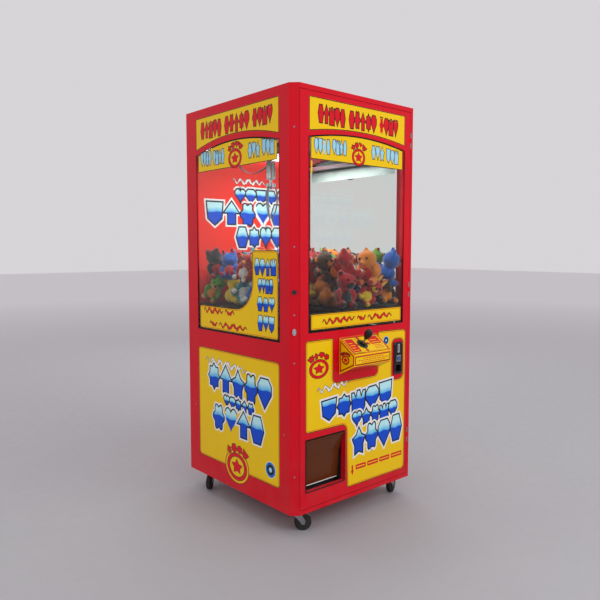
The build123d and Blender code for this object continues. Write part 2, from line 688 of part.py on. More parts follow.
CROSS_R = 2.5
with BuildPart() as joystick_gimbal:
    with BuildSketch(panel_plane(-STICK_PIVOT - GIMBAL_H / 2)):
        Circle(GIMBAL_R)
        Circle(GIMBAL_BORE, mode=Mode.SUBTRACT)
    extrude(amount=GIMBAL_H)
    for way in (-1, 1):
        rod(stick_point(-STICK_PIVOT) + Vector(way * (GIMBAL_R - 1.0), 0, 0), (way, 0, 0),
            TRUNNION_R, HOUSING_OUT / 2 - GIMBAL_R)
    rod(stick_point(-STICK_PIVOT) - PANEL_UP * 20.0, PANEL_UP, CROSS_R + RUN_FIT, 40.0,
        mode=Mode.SUBTRACT)
save(joystick_gimbal, "joystick_gimbal")

with BuildPart() as joystick_shaft:
    rod(stick_point(-STICK_PIVOT - 12.0), PANEL_NORMAL, STICK_R,
        STICK_PIVOT + 12.0 + STICK_H - BAT_H)
    rod(stick_point(-STICK_PIVOT) - PANEL_UP * (GIMBAL_R - 1.0), PANEL_UP, CROSS_R,
        2 * (GIMBAL_R - 1.0))
save(joystick_shaft, "joystick_shaft")

with BuildPart() as joystick_bat:
    with BuildSketch(Plane(origin=stick_point(STICK_H - BAT_H), x_dir=(1, 0, 0),
                           z_dir=-PANEL_UP)):
        with BuildLine():
            waist = Spline(
                (STICK_R * 1.5, 0),
                (BAT_R, BAT_H * BAT_WAIST),
                (0, BAT_H),
                tangents=((1.0, 1.0), (-1.0, 0.0)),
            )
            Polyline((0, BAT_H), (0, 0), (STICK_R * 1.5, 0))
        make_face()
    revolve(axis=Axis(stick_point(0.0), PANEL_NORMAL))
save(joystick_bat, "joystick_bat")

# coin unit
COIN_MID = LEFT + COIN_LEFT + COIN_W / 2
BUTTON_FIT = 0.4
with BuildPart() as coin_plate:
    with BuildSketch(Plane.XZ.offset(-FRONT)):
        with Locations((COIN_MID, BASE + COIN_Z + COIN_H / 2)):
            RectangleRounded(COIN_W, COIN_H, 6.0)
        with Locations((COIN_MID, BASE + COIN_Z + COIN_H - 30.0)):
            Rectangle(SLOT_W, SLOT_H, mode=Mode.SUBTRACT)
        with Locations((COIN_MID, BASE + BUTTON_Z)):
            Rectangle(BUTTON_W + 2 * BUTTON_FIT, BUTTON_H + 2 * BUTTON_FIT, mode=Mode.SUBTRACT)
        with Locations((COIN_MID, BASE + CUP_Z + CUP_H / 2)):
            Rectangle(CUP_W, CUP_H, mode=Mode.SUBTRACT)
    extrude(amount=COIN_T)
    chamfer(coin_plate.faces().sort_by(Axis.Y)[0].outer_wire().edges(), length=1.2)
save(coin_plate, "coin_plate")

with BuildPart() as coin_mech:
    bar(COIN_HOLE[0] + FIT, COIN_HOLE[1] - FIT, FRONT, FRONT + MECH_DEEP,
        COIN_HOLE[2] + FIT, COIN_HOLE[3] - FIT)
    bar(COIN_MID - CUP_W / 2, COIN_MID + CUP_W / 2, FRONT, FRONT + CUP_DEEP,
        BASE + CUP_Z, BASE + CUP_Z + CUP_H, mode=Mode.SUBTRACT)
    bar(COIN_MID - BUTTON_W / 2 - 1.0, COIN_MID + BUTTON_W / 2 + 1.0, FRONT, FRONT + 10.0,
        BASE + BUTTON_Z - BUTTON_H / 2 - 1.0, BASE + BUTTON_Z + BUTTON_H / 2 + 1.0,
        mode=Mode.SUBTRACT)
    bar(COIN_MID - SLOT_W / 2, COIN_MID + SLOT_W / 2, FRONT, FRONT + MECH_DEEP - 8.0,
        BASE + COIN_Z + COIN_H - 30.0 - SLOT_H / 2, BASE + COIN_Z + COIN_H - 30.0 + SLOT_H / 2,
        mode=Mode.SUBTRACT)
save(coin_mech, "coin_mech")

with BuildPart() as reject_button:
    bar(COIN_MID - BUTTON_W / 2, COIN_MID + BUTTON_W / 2, FRONT - COIN_T - BUTTON_OUT,
        FRONT + 10.0 - BUTTON_STROKE - 1.0, BASE + BUTTON_Z - BUTTON_H / 2, BASE + BUTTON_Z + BUTTON_H / 2)
    fillet(reject_button.faces().sort_by(Axis.Y)[0].edges(), radius=2.0)
save(reject_button, "reject_button")

# prize flap: a folded plate that hangs from a rod at the top of its opening
FLAP_FIT = 2.0
FLAP_T = 3.0
FLAP_ROD_R = 3.0
FLAP_ROD_Y = FRONT + 6.0
FLAP_ROD_Z = BASE + CHUTE_TOP - 9.0
FLAP_KNEE_Y = FRONT + 32.0
FLAP_KNEE_Z = BASE + 225.0
FLAP_TIP_Y = FRONT + 44.0
FLAP_TIP_Z = BASE + CHUTE_Z + 6.0
with BuildPart() as prize_flap:
    with BuildSketch(Plane.YZ.offset(CHUTE[0] + FLAP_FIT)):
        with BuildLine():
            Polyline(
                (FLAP_ROD_Y - FLAP_T / 2, FLAP_ROD_Z),
                (FLAP_KNEE_Y - FLAP_T / 2, FLAP_KNEE_Z),
                (FLAP_TIP_Y - FLAP_T / 2, FLAP_TIP_Z),
                (FLAP_TIP_Y + FLAP_T / 2, FLAP_TIP_Z),
                (FLAP_KNEE_Y + FLAP_T / 2, FLAP_KNEE_Z + 1.0),
                (FLAP_ROD_Y + FLAP_T / 2, FLAP_ROD_Z),
                close=True,
            )
        make_face()
    extrude(amount=CHUTE_W - 2 * FLAP_FIT)
    rod((CHUTE[0] + FLAP_FIT, FLAP_ROD_Y, FLAP_ROD_Z), (1, 0, 0), FLAP_ROD_R + 2.0,
        CHUTE_W - 2 * FLAP_FIT)
    rod((CHUTE[0], FLAP_ROD_Y, FLAP_ROD_Z), (1, 0, 0), FLAP_ROD_R + RUN_FIT, CHUTE_W,
        mode=Mode.SUBTRACT)
save(prize_flap, "prize_flap")

with BuildPart() as flap_rod:
    rod((CHUTE[0], FLAP_ROD_Y, FLAP_ROD_Z), (1, 0, 0), FLAP_ROD_R, CHUTE_W)
save(flap_rod, "flap_rod")

# ---------------------------------------------------------------- crane
RAIL_FRONT = DOOR_BACK + 60.0
RAIL_BACK = INNER_BACK - 8.0
RAIL_XS = (LEFT + RAIL_INSET, RIGHT - RAIL_INSET)
HANGER_T = 4.0
with BuildPart() as gantry_rails:
    for rail_x in RAIL_XS:
        bar(rail_x - RAIL_W / 2, rail_x + RAIL_W / 2, RAIL_FRONT, RAIL_BACK,
            BASE + RAIL_Z, RAIL_TOP)
        for hanger_y in (RAIL_FRONT, RAIL_BACK - HANGER_T):
            bar(rail_x - RAIL_W / 2, rail_x + RAIL_W / 2, hanger_y, hanger_y + HANGER_T,
                RAIL_TOP, BASE + CEILING_Z)
save(gantry_rails, "gantry_rails")

ROD_YS = (BRIDGE_Y - BRIDGE_PITCH / 2, BRIDGE_Y + BRIDGE_PITCH / 2)
CHEEK = 4.0
with BuildPart() as bridge_beam:
    for rail_x in RAIL_XS:
        bar(rail_x - RAIL_W / 2 - CHEEK, rail_x + RAIL_W / 2 + CHEEK,
            BRIDGE_Y - TRUCK_L / 2, BRIDGE_Y + TRUCK_L / 2, RAIL_TOP + FIT - 10.0,
            RAIL_TOP + FIT + TRUCK_H)
        bar(rail_x - RAIL_W / 2 - FIT, rail_x + RAIL_W / 2 + FIT,
            BRIDGE_Y - TRUCK_L / 2, BRIDGE_Y + TRUCK_L / 2, RAIL_TOP + FIT - 10.0,
            RAIL_TOP + FIT, mode=Mode.SUBTRACT)
    for rod_y in ROD_YS:
        rod((RAIL_XS[0], rod_y, BRIDGE_Z), (1, 0, 0), BRIDGE_ROD_R, RAIL_XS[1] - RAIL_XS[0])
save(bridge_beam, "bridge_beam")

CARRIAGE_HALF_D = BRIDGE_PITCH / 2 + BRIDGE_ROD_R + 5.0
CARRIAGE_LOW = BRIDGE_Z - CARRIAGE_H / 2
POCKET = 2 * DRUM_R + 8.0
DRUM_X = CARRIAGE_X - DRUM_R - CORD_R
with BuildPart() as carriage:
    bar(CARRIAGE_X - CARRIAGE_L / 2, CARRIAGE_X + CARRIAGE_L / 2,
        BRIDGE_Y - CARRIAGE_HALF_D, BRIDGE_Y + CARRIAGE_HALF_D,
        CARRIAGE_LOW, CARRIAGE_LOW + CARRIAGE_H)
    bar(DRUM_X - POCKET / 2, DRUM_X + POCKET / 2 + 6.0,
        BRIDGE_Y - DRUM_L / 2 - 1.0, BRIDGE_Y + DRUM_L / 2 + 1.0,
        CARRIAGE_LOW, CARRIAGE_LOW + CARRIAGE_H, mode=Mode.SUBTRACT)
    for rod_y in ROD_YS:
        rod((CARRIAGE_X - CARRIAGE_L, rod_y, BRIDGE_Z), (1, 0, 0), BRIDGE_ROD_R + RUN_FIT,
            2 * CARRIAGE_L, mode=Mode.SUBTRACT)
    rod((DRUM_X, BRIDGE_Y - DRUM_L / 2 - 6.0, BRIDGE_Z), (0, 1, 0), SPINDLE_R + RUN_FIT,
        DRUM_L + 12.0, mode=Mode.SUBTRACT)
save(carriage, "carriage")

FLANGE = 3.0
with BuildPart() as winch_drum:
    rod((DRUM_X, BRIDGE_Y - DRUM_L / 2, BRIDGE_Z), (0, 1, 0), DRUM_R, DRUM_L)
    for flange_y in (BRIDGE_Y - DRUM_L / 2, BRIDGE_Y + DRUM_L / 2 - FLANGE):
        rod((DRUM_X, flange_y, BRIDGE_Z), (0, 1, 0), DRUM_R + 2.5, FLANGE)
    rod((DRUM_X, BRIDGE_Y - DRUM_L / 2 - 5.0, BRIDGE_Z), (0, 1, 0), SPINDLE_R, DRUM_L + 10.0)
save(winch_drum, "winch_drum")

CORD_TOP = BRIDGE_Z
HEAD_TOP = BASE + CLAW_TOP
with BuildPart() as hoist_cord:
    rod((CARRIAGE_X, BRIDGE_Y, HEAD_TOP), (0, 0, 1), CORD_R, CORD_TOP - HEAD_TOP)
save(hoist_cord, "hoist_cord")

# claw head: solenoid can, neck and a hub with three forks for the fingers
HEAD_LOW = HEAD_TOP - HEAD_H
HUB_LOW = HEAD_LOW - HUB_H
PIVOT_Z = HUB_LOW + 7.0
NECK_R = 8.0
PLUNGER_R = 4.0
FINGER_TURNS = (90.0, 210.0, 330.0)
HUB_R = FINGER_PIVOT_R + 4.0
FORK_SLOT = FINGER_T + 2 * FIT


def claw_plane(turn):
    """Return the upright plane through the claw's middle: x outwards, y up."""
    a = radians(turn)
    return Plane(origin=(CARRIAGE_X, BRIDGE_Y, 0), x_dir=(cos(a), sin(a), 0),
                 z_dir=(sin(a), -cos(a), 0))


with BuildPart() as claw_head:
    rod((CARRIAGE_X, BRIDGE_Y, HEAD_LOW), (0, 0, 1), HEAD_R, HEAD_H)
    fillet(claw_head.edges().filter_by(GeomType.CIRCLE), radius=3.0)
    rod((CARRIAGE_X, BRIDGE_Y, HUB_LOW + 14.0), (0, 0, 1), NECK_R, HUB_H - 14.0)
    rod((CARRIAGE_X, BRIDGE_Y, HUB_LOW), (0, 0, 1), HUB_R, 14.0)
    for turn in FINGER_TURNS:
        with BuildSketch(claw_plane(turn)):
            box_outline(COLLAR_R + 3.0, HUB_R + 4.0, HUB_LOW - 1.0, HUB_LOW + 16.0)
        extrude(amount=FORK_SLOT / 2, both=True, mode=Mode.SUBTRACT)
        with BuildSketch(claw_plane(turn)):
            with Locations((FINGER_PIVOT_R, PIVOT_Z)):
                Circle(FINGER_PIN_R)
        extrude(amount=FORK_SLOT / 2 + 1.0, both=True)
    rod((CARRIAGE_X, BRIDGE_Y, HUB_LOW), (0, 0, 1), PLUNGER_R + RUN_FIT, HUB_H, mode=Mode.SUBTRACT)
save(claw_head, "claw_head")

COLLAR_H = 8.0
COLLAR_Z = HUB_LOW - 2.0 - COLLAR_H
with BuildPart() as claw_collar:
    rod((CARRIAGE_X, BRIDGE_Y, COLLAR_Z), (0, 0, 1), COLLAR_R, COLLAR_H)
    rod((CARRIAGE_X, BRIDGE_Y, COLLAR_Z + COLLAR_H), (0, 0, 1), PLUNGER_R,
        HUB_LOW + 2 * COLLAR_STROKE - COLLAR_Z - COLLAR_H)
save(claw_collar, "claw_plunger")

FINGER_W = 7.0
BULGE_Z = PIVOT_Z - 62.0
TIP_Z = BASE + FINGER_TIP_Z
for number, turn in enumerate(FINGER_TURNS, start=1):
    with BuildPart() as claw_finger:
        with BuildSketch(claw_plane(turn)):
            with BuildLine():
                outer = Spline(
                    (FINGER_PIVOT_R + FINGER_W / 2, PIVOT_Z),
                    (FINGER_REACH, BULGE_Z),
                    (CLAW_TIP_R + FINGER_W * 0.6, TIP_Z),
                )
                inner = Spline(
                    (CLAW_TIP_R, TIP_Z),
                    (FINGER_REACH - FINGER_W, BULGE_Z),
                    (FINGER_PIVOT_R - FINGER_W / 2, PIVOT_Z),
                )
                Line(outer @ 1, inner @ 0)
                Line(inner @ 1, outer @ 0)
            make_face()
            with Locations((FINGER_PIVOT_R, PIVOT_Z)):
                Circle(FINGER_W / 2)
                Circle(FINGER_PIN_R + RUN_FIT, mode=Mode.SUBTRACT)
        extrude(amount=FINGER_T / 2, both=True)
    save(claw_finger, f"claw_finger_{number}")

# trailing cable: a flat cable from the rear ceiling to the bridge, hanging in a loop
radii = []
for before, here, after in zip(route, route[1:], route[2:]):
    first = here - before
    second = after - here
    radii.append(0.45 * min(first.length, second.length) / tan(radians(first.get_angle(second)) / 2))
print("trailing cable radii", [round(r) for r in radii])
with BuildPart() as trailing_cable:
    with BuildLine(Plane.YZ.offset(CABLE_X)) as cable_line:
        FilletPolyline(*[(p.X, p.Y) for p in route], radius=radii)
    cable_path = cable_line.wire()
    print("trailing cable length", round(cable_path.length, 1))
    with BuildSketch(Plane(origin=cable_path @ 0, z_dir=cable_path % 0, x_dir=(1, 0, 0))):
        Rectangle(CABLE_W, CABLE_T)
    sweep(path=cable_path)
    print("trailing cable volume check", trailing_cable.part.volume / (cable_path.length * CABLE_W * CABLE_T))
save(trailing_cable, "trailing_cable")

# ---------------------------------------------------------------- prizes
TOY_R = 70.0
TOY_PITCH_X = 161.0
TOY_PITCH_Y = 157.0
TOY_X0 = LEFT + SIDE_T + FIT + TOY_R + 5.0
TOY_Y0 = DOOR_BACK + TOY_R + 12.0
TOY_STAGGER = 8.0
TOY_NEST = 92.0


def toy_layer(rows, columns, offset, lift):
    """Return one layer of prizes as (x, y, z) centres clear of the prize shaft."""
    spots = []
    for row in range(rows):
        for column in range(columns):
            x = TOY_X0 + (column + offset) * TOY_PITCH_X + TOY_STAGGER * (row % 2)
            y = TOY_Y0 + (row + offset) * TOY_PITCH_Y
            beside = x - TOY_R > SHAFT_RIGHT + GUARD_T
            behind = y - TOY_R > SHAFT_BACK + GUARD_T
            if beside or behind:
                spots.append((x, y, DECK_TOP + TOY_R + lift))
    return spots


TOY_LAYERS = {
    "plush_toys_lower": toy_layer(5, 4, 0.0, FIT),
    "plush_toys_upper": toy_layer(4, 3, 0.5, TOY_NEST),
}
for toy_name, spots in TOY_LAYERS.items():
    with BuildPart() as toys:
        for x, y, z in spots:
            with BuildSketch(Plane(origin=(x, y, z), x_dir=(1, 0, 0), z_dir=(0, -1, 0))):
                with BuildLine():
                    CenterArc((0, 0), TOY_R, -90, 180)
                    Line((0, TOY_R), (0, -TOY_R))
                make_face()
            revolve(axis=Axis((x, y, z), (0, 0, 1)))
    save(toys, toy_name)

# ---------------------------------------------------------------- casters
CASTERS = {
    "fl": (LEFT + CASTER_INSET_X, FRONT + CASTER_INSET_FRONT),
    "fr": (RIGHT - CASTER_INSET_X, FRONT + CASTER_INSET_FRONT),
    "rl": (LEFT + CASTER_INSET_X, BACK - CASTER_INSET_BACK),
    "rr": (RIGHT - CASTER_INSET_X, BACK - CASTER_INSET_BACK),
}
PLATE_LOW = BASE - PLATE_T
CROWN_TOP = PLATE_LOW - RACE_H - FIT
CROWN_LOW = CROWN_TOP - CROWN_T
FORK_IN = WHEEL_W / 2 + FORK_GAP
FORK_OUT = FORK_IN + FORK_T
LEG_HALF = 11.0
BRAKED = ("fl", "fr")
PEDAL_PIN_R = 1.6
PEDAL_SLEEVE_R = 3.0
PEDAL_PIN = (TRAIL - 17.0, CROWN_LOW - PEDAL_SLEEVE_R - 0.2)

BOLT_INSET = 7.0
BOLT_SIDE = 10.0
BOLT_HEAD = 3.5
with BuildPart() as caster_plates:
    for x, y in CASTERS.values():
        with BuildSketch(Plane.XY.offset(PLATE_LOW - BOLT_HEAD)):
            with Locations((x, y)):
                with GridLocations(PLATE_SIDE - 2 * BOLT_INSET, PLATE_SIDE - 2 * BOLT_INSET, 2, 2):
                    RegularPolygon(BOLT_SIDE / 2, 6, major_radius=False)
        extrude(amount=BOLT_HEAD)
        bar(x - PLATE_SIDE / 2, x + PLATE_SIDE / 2, y - PLATE_SIDE / 2, y + PLATE_SIDE / 2,
            PLATE_LOW, BASE)
        rod((x, y, PLATE_LOW - RACE_H), (0, 0, 1), RACE_R, RACE_H)
        rod((x, y, PLATE_LOW - RACE_H), (0, 0, 1), KINGPIN_R + RUN_FIT, RACE_H + PLATE_T - 0.5,
            mode=Mode.SUBTRACT)
save(caster_plates, "caster_plates")

def fork_plane(x, y, turn, across):
    """Return the upright plane along a fork: x along its trail, y up, set off sideways."""
    a = radians(turn)
    side = Vector(sin(a), -cos(a), 0)
    return Plane(origin=Vector(x, y, 0) + side * across, x_dir=(cos(a), sin(a), 0), z_dir=side)


def fork_leg_outline():
    """Draw one leg of a fork in (trail, z), tapering from the crown to the axle."""
    with BuildLine() as edge:
        Polyline(
            (-RACE_R * 0.8, CROWN_TOP),
            (RACE_R * 0.95, CROWN_TOP),
            (TRAIL + LEG_HALF, WHEEL_R + 6.0),
            (TRAIL + LEG_HALF * 0.6, WHEEL_R - 9.0),
            (TRAIL - LEG_HALF * 0.6, WHEEL_R - 9.0),
            (TRAIL - LEG_HALF * 1.3, WHEEL_R + 6.0),
            (-RACE_R * 0.8, CROWN_LOW),
            close=True,
        )
    make_face(edge.edges())


for tag, (x, y) in CASTERS.items():
    turn = CASTER_TURN[tag]
    a = radians(turn)
    with BuildPart() as caster_fork:
        rod((x, y, CROWN_LOW), (0, 0, 1), RACE_R, CROWN_T)
        with BuildSketch(fork_plane(x, y, turn, 0.0)):
            box_outline(-RACE_R * 0.8, RACE_R * 0.95, CROWN_LOW, CROWN_TOP)
        extrude(amount=FORK_OUT, both=True)
        rod((x, y, CROWN_LOW), (0, 0, 1), KINGPIN_R, PLATE_LOW - CROWN_LOW + PLATE_T - 1.0)
        for way in (-1, 1):
            with BuildSketch(fork_plane(x, y, turn, way * FORK_IN)):
                fork_leg_outline()
            extrude(amount=way * FORK_T)
        with BuildSketch(fork_plane(x, y, turn, -FORK_OUT - 3.0)):
            with Locations((TRAIL, WHEEL_R)):
                Circle(AXLE_R)
        extrude(amount=2 * FORK_OUT + 6.0)
        if tag in BRAKED:
            with BuildSketch(fork_plane(x, y, turn, 0.0)):
                with Locations(PEDAL_PIN):
                    Circle(PEDAL_PIN_R)
            extrude(amount=FORK_OUT, both=True)
        for way in (-1, 1):
            with BuildSketch(fork_plane(x, y, turn, way * FORK_OUT)):
                with Locations((TRAIL, WHEEL_R)):
                    RegularPolygon(AXLE_HEAD_R, 6)
            extrude(amount=way * 3.0)
    save(caster_fork, f"caster_fork_{tag}")

    with BuildPart() as caster_wheel:
        with BuildSketch(fork_plane(x, y, turn, 0.0)):
            with Locations((TRAIL, WHEEL_R)):
                Circle(WHEEL_R)
        extrude(amount=WHEEL_W / 2, both=True)
        fillet(caster_wheel.edges().filter_by(GeomType.CIRCLE), radius=4.0)
        with BuildSketch(fork_plane(x, y, turn, 0.0)):
            with Locations((TRAIL, WHEEL_R)):
                Circle(AXLE_R + 5.0)
        extrude(amount=WHEEL_W / 2 + 1.2, both=True)
        with BuildSketch(fork_plane(x, y, turn, 0.0)):
            with Locations((TRAIL, WHEEL_R)):
                Circle(AXLE_R + RUN_FIT)
        extrude(amount=WHEEL_W, both=True, mode=Mode.SUBTRACT)
    save(caster_wheel, f"caster_wheel_{tag}")

PEDAL_NOSE = (TRAIL + WHEEL_R - 4.0, PEDAL_PIN[1] - 9.0)
for tag in BRAKED:
    x, y = CASTERS[tag]
    turn = CASTER_TURN[tag]
    with BuildPart() as brake_pedal:
        with BuildSketch(fork_plane(x, y, turn, 0.0)):
            with BuildLine():
                Polyline(
                    (PEDAL_PIN[0], PEDAL_PIN[1] - PEDAL_T / 2 + 0.4),
                    (PEDAL_PIN[0], PEDAL_PIN[1] + PEDAL_T / 2),
                    (TRAIL + 14.0, PEDAL_PIN[1] + PEDAL_T / 2),
                    PEDAL_NOSE,
                    (PEDAL_NOSE[0] - 1.0, PEDAL_NOSE[1] - PEDAL_T),
                    (TRAIL + 13.0, PEDAL_PIN[1] - PEDAL_T / 2 + 0.4),
                    close=True,
                )
            make_face()
            with Locations(PEDAL_PIN):
                Circle(PEDAL_SLEEVE_R)
                Circle(PEDAL_PIN_R + RUN_FIT, mode=Mode.SUBTRACT)
        extrude(amount=WHEEL_W / 2, both=True)
    save(brake_pedal, f"brake_pedal_{tag}")
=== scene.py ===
import logging
import math
import random
from collections.abc import Callable
from dataclasses import dataclass, field
from enum import Enum

import bmesh
import bpy
from mathutils import Matrix, Vector


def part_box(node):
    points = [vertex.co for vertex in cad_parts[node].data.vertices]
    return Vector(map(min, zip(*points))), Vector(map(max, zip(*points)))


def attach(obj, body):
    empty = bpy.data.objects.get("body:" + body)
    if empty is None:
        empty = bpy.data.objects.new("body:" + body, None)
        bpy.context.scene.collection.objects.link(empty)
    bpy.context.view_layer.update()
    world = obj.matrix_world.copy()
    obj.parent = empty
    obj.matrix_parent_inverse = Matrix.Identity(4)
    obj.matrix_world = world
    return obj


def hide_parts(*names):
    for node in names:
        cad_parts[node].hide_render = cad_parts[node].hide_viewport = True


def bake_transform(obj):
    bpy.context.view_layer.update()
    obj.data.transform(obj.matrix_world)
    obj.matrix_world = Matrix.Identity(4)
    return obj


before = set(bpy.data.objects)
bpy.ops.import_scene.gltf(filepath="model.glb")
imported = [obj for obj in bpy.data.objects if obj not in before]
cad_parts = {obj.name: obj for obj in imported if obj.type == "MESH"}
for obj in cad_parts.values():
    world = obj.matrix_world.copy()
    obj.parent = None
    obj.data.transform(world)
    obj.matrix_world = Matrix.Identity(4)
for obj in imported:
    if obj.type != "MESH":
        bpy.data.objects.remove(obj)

LOG = logging.getLogger("claw_machine")
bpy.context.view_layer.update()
MM = 0.001

Point2 = tuple[float, float]
RowPlace = Callable[[float, float], Point2]
Colour = tuple[float, float, float, float]


# ------------------------------------------------------------------ workshop: mesh helpers
def deselect() -> None:
    """Leave nothing selected, in object mode."""
    if bpy.context.mode != "OBJECT":
        bpy.ops.object.mode_set(mode="OBJECT")
    bpy.ops.object.select_all(action="DESELECT")


def activate(piece: bpy.types.Object) -> None:
    """Select one object alone and make it active.

    Args:
        piece: The object to work on.
    """
    deselect()
    piece.select_set(True)
    bpy.context.view_layer.objects.active = piece


def bake_place(piece: bpy.types.Object) -> bpy.types.Object:
    """Move an object's place, turn and size into its mesh.

    Args:
        piece: A mesh object.

    Returns:
        The same object, at the origin.
    """
    activate(piece)
    bpy.ops.object.transform_apply(location=True, rotation=True, scale=True)
    return piece


def apply_modifier(piece: bpy.types.Object, kind: str, **settings: object) -> bpy.types.Object:
    """Add a modifier with its settings and apply it.

    Args:
        piece: A mesh object.
        kind: The modifier's type.
        settings: The modifier's values.

    Returns:
        The same object.
    """
    activate(piece)
    modifier = piece.modifiers.new(kind.title(), kind)
    for key, value in settings.items():
        setattr(modifier, key, value)
    bpy.ops.object.modifier_apply(modifier=modifier.name)
    return piece


def smooth(piece: bpy.types.Object, angle: float = 35.0) -> bpy.types.Object:
    """Shade a mesh smooth, apart from edges sharper than an angle.

    Args:
        piece: A mesh object.
        angle: The sharpest smooth edge, in degrees.

    Returns:
        The same object.
    """
    activate(piece)
    bpy.ops.object.shade_smooth_by_angle(angle=math.radians(angle))
    return piece


def recalculate(piece: bpy.types.Object, merge: float = 1e-5) -> bpy.types.Object:
    """Merge doubled points and turn every face outwards.

    Args:
        piece: A mesh object.
        merge: How near two points are merged, in metres.

    Returns:
        The same object.
    """
    activate(piece)
    bpy.ops.object.mode_set(mode="EDIT")
    bpy.ops.mesh.select_all(action="SELECT")
    bpy.ops.mesh.remove_doubles(threshold=merge)
    bpy.ops.mesh.normals_make_consistent(inside=False)
    bpy.ops.object.mode_set(mode="OBJECT")
    return piece


def join(pieces: list[bpy.types.Object], name: str) -> bpy.types.Object:
    """Join meshes into one object, keeping their material slots.

    Args:
        pieces: The mesh objects.
        name: The joined object's name.

    Returns:
        The joined object.
    """
    activate(pieces[0])
    for piece in pieces:
        piece.select_set(True)
    bpy.ops.object.join()
    pieces[0].name = name
    return pieces[0]


def duplicate(piece: bpy.types.Object, name: str, place: Matrix) -> bpy.types.Object:
    """Copy an object with a mesh of its own and put the copy's place into that mesh.

    Args:
        piece: The object to copy.
        name: The copy's name.
        place: The copy's place.

    Returns:
        The copy.
    """
    copy = piece.copy()
    copy.data = piece.data.copy()
    copy.name = name
    bpy.context.scene.collection.objects.link(copy)
    copy.data.transform(place)
    return copy


def block(
    name: str,
    low: tuple[float, float, float],
    high: tuple[float, float, float],
    bevel: float = 0.001,
    segments: int = 2,
) -> bpy.types.Object:
    """Make a block between two corners with rounded edges.

    Args:
        name: The object's name.
        low: The lowest corner, in metres.
        high: The highest corner.
        bevel: The radius of its edges.
        segments: The steps in each rounded edge.

    Returns:
        The block.
    """
    deselect()
    middle = [(a + b) / 2 for a, b in zip(low, high)]
    size = [b - a for a, b in zip(low, high)]
    bpy.ops.mesh.primitive_cube_add(size=1.0, location=middle)
    piece = bpy.context.object
    piece.name = name
    piece.scale = size
    bake_place(piece)
    apply_modifier(piece, "BEVEL", width=bevel, segments=segments, limit_method="ANGLE")
    return smooth(piece)


def axis_place(origin: Vector, direction: Vector) -> Matrix:
    """Return the place whose own Z axis points along a direction.

    Args:
        origin: Where the place is.
        direction: Where its Z axis points.

    Returns:
        The place as a matrix.
    """
    turn = Vector((0, 0, 1)).rotation_difference(Vector(direction).normalized())
    return Matrix.Translation(Vector(origin)) @ turn.to_matrix().to_4x4()


def lathe(
    name: str,
    profile: list[Point2],
    place: Matrix,
    steps: int = 48,
    crease: float = 35.0,
) -> bpy.types.Object:
    """Spin a profile of (radius, height) round its own Z axis.

    Args:
        name: The object's name.
        profile: The profile's points, in metres.
        place: Where the axis stands.
        steps: The number of steps round.
        crease: The sharpest smooth edge, in degrees.

    Returns:
        The turned piece.
    """
    deselect()
    mesh = bpy.data.meshes.new(name)
    points = [(radius, 0.0, height) for radius, height in profile]
    edges = [(i, i + 1) for i in range(len(points) - 1)]
    mesh.from_pydata(points, edges, [])
    piece = bpy.data.objects.new(name, mesh)
    bpy.context.scene.collection.objects.link(piece)
    activate(piece)
    bpy.ops.object.mode_set(mode="EDIT")
    bpy.ops.mesh.select_all(action="SELECT")
    bpy.ops.mesh.spin(steps=steps, angle=2 * math.pi, center=(0, 0, 0), axis=(0, 0, 1))
    bpy.ops.mesh.select_all(action="SELECT")
    bpy.ops.mesh.remove_doubles(threshold=1e-6)
    bpy.ops.mesh.normals_make_consistent(inside=False)
    bpy.ops.object.mode_set(mode="OBJECT")
    piece.data.transform(place)
    return smooth(piece, crease)


def slab(
    name: str,
    outlines: list[list[Point2]],
    thickness: float,
    place: Matrix,
    bevel: float = 0.0,
) -> bpy.types.Object:
    """Fill flat outlines and thicken them; an outline inside another is a hole.

    Args:
        name: The object's name.
        outlines: Closed outlines in the slab's own plane, in metres.
        thickness: How thick it is, above its plane.
        place: Where its plane is.
        bevel: The radius of its edges.

    Returns:
        The slab.
    """
    deselect()
    curve = bpy.data.curves.new(name, "CURVE")
    curve.dimensions = "2D"
    curve.fill_mode = "BOTH"
    curve.extrude = max(thickness / 2 - bevel, 1e-6)
    curve.bevel_depth = bevel
    curve.bevel_resolution = 1
    curve.offset = -bevel
    for outline in outlines:
        spline = curve.splines.new("POLY")
        spline.points.add(len(outline) - 1)
        for point, (x, y) in zip(spline.points, outline):
            point.co = (x, y, 0.0, 1.0)
        spline.use_cyclic_u = True
    piece = bpy.data.objects.new(name, curve)
    bpy.context.scene.collection.objects.link(piece)
    activate(piece)
    bpy.ops.object.convert(target="MESH")
    piece = bpy.context.object
    piece.name = name
    piece.data.transform(Matrix.Translation((0, 0, thickness / 2)))
    recalculate(piece, 1e-7)
    mark_height(piece)
    piece.data.transform(place)
    return smooth(piece, 25.0)


def ring_slab(name: str, outer: list[Point2], inner: list[Point2], thickness: float,
              place: Matrix) -> bpy.types.Object:
    """Make a thin closed band between two outlines that have the same number of points.

    Args:
        name: The object's name.
        outer: One edge of the band, in metres.
        inner: The other edge.
        thickness: How thick it is, above its plane.
        place: Where its plane is.

    Returns:
        The band.
    """
    loops = [(outer, 0.0), (inner, 0.0), (inner, thickness), (outer, thickness)]
    points = [(x, y, z) for outline, z in loops for x, y in outline]
    count = len(outer)
    faces = []
    for side in range(4):
        after = (side + 1) % 4
        for k in range(count):
            step = (k + 1) % count
            faces.append((side * count + k, side * count + step, after * count + step,
                          after * count + k))
    mesh = bpy.data.meshes.new(name)
    mesh.from_pydata(points, [], faces)
    piece = bpy.data.objects.new(name, mesh)
    bpy.context.scene.collection.objects.link(piece)
    recalculate(piece, 1e-8)
    mark_height(piece)
    piece.data.transform(place)
    return smooth(piece, 25.0)


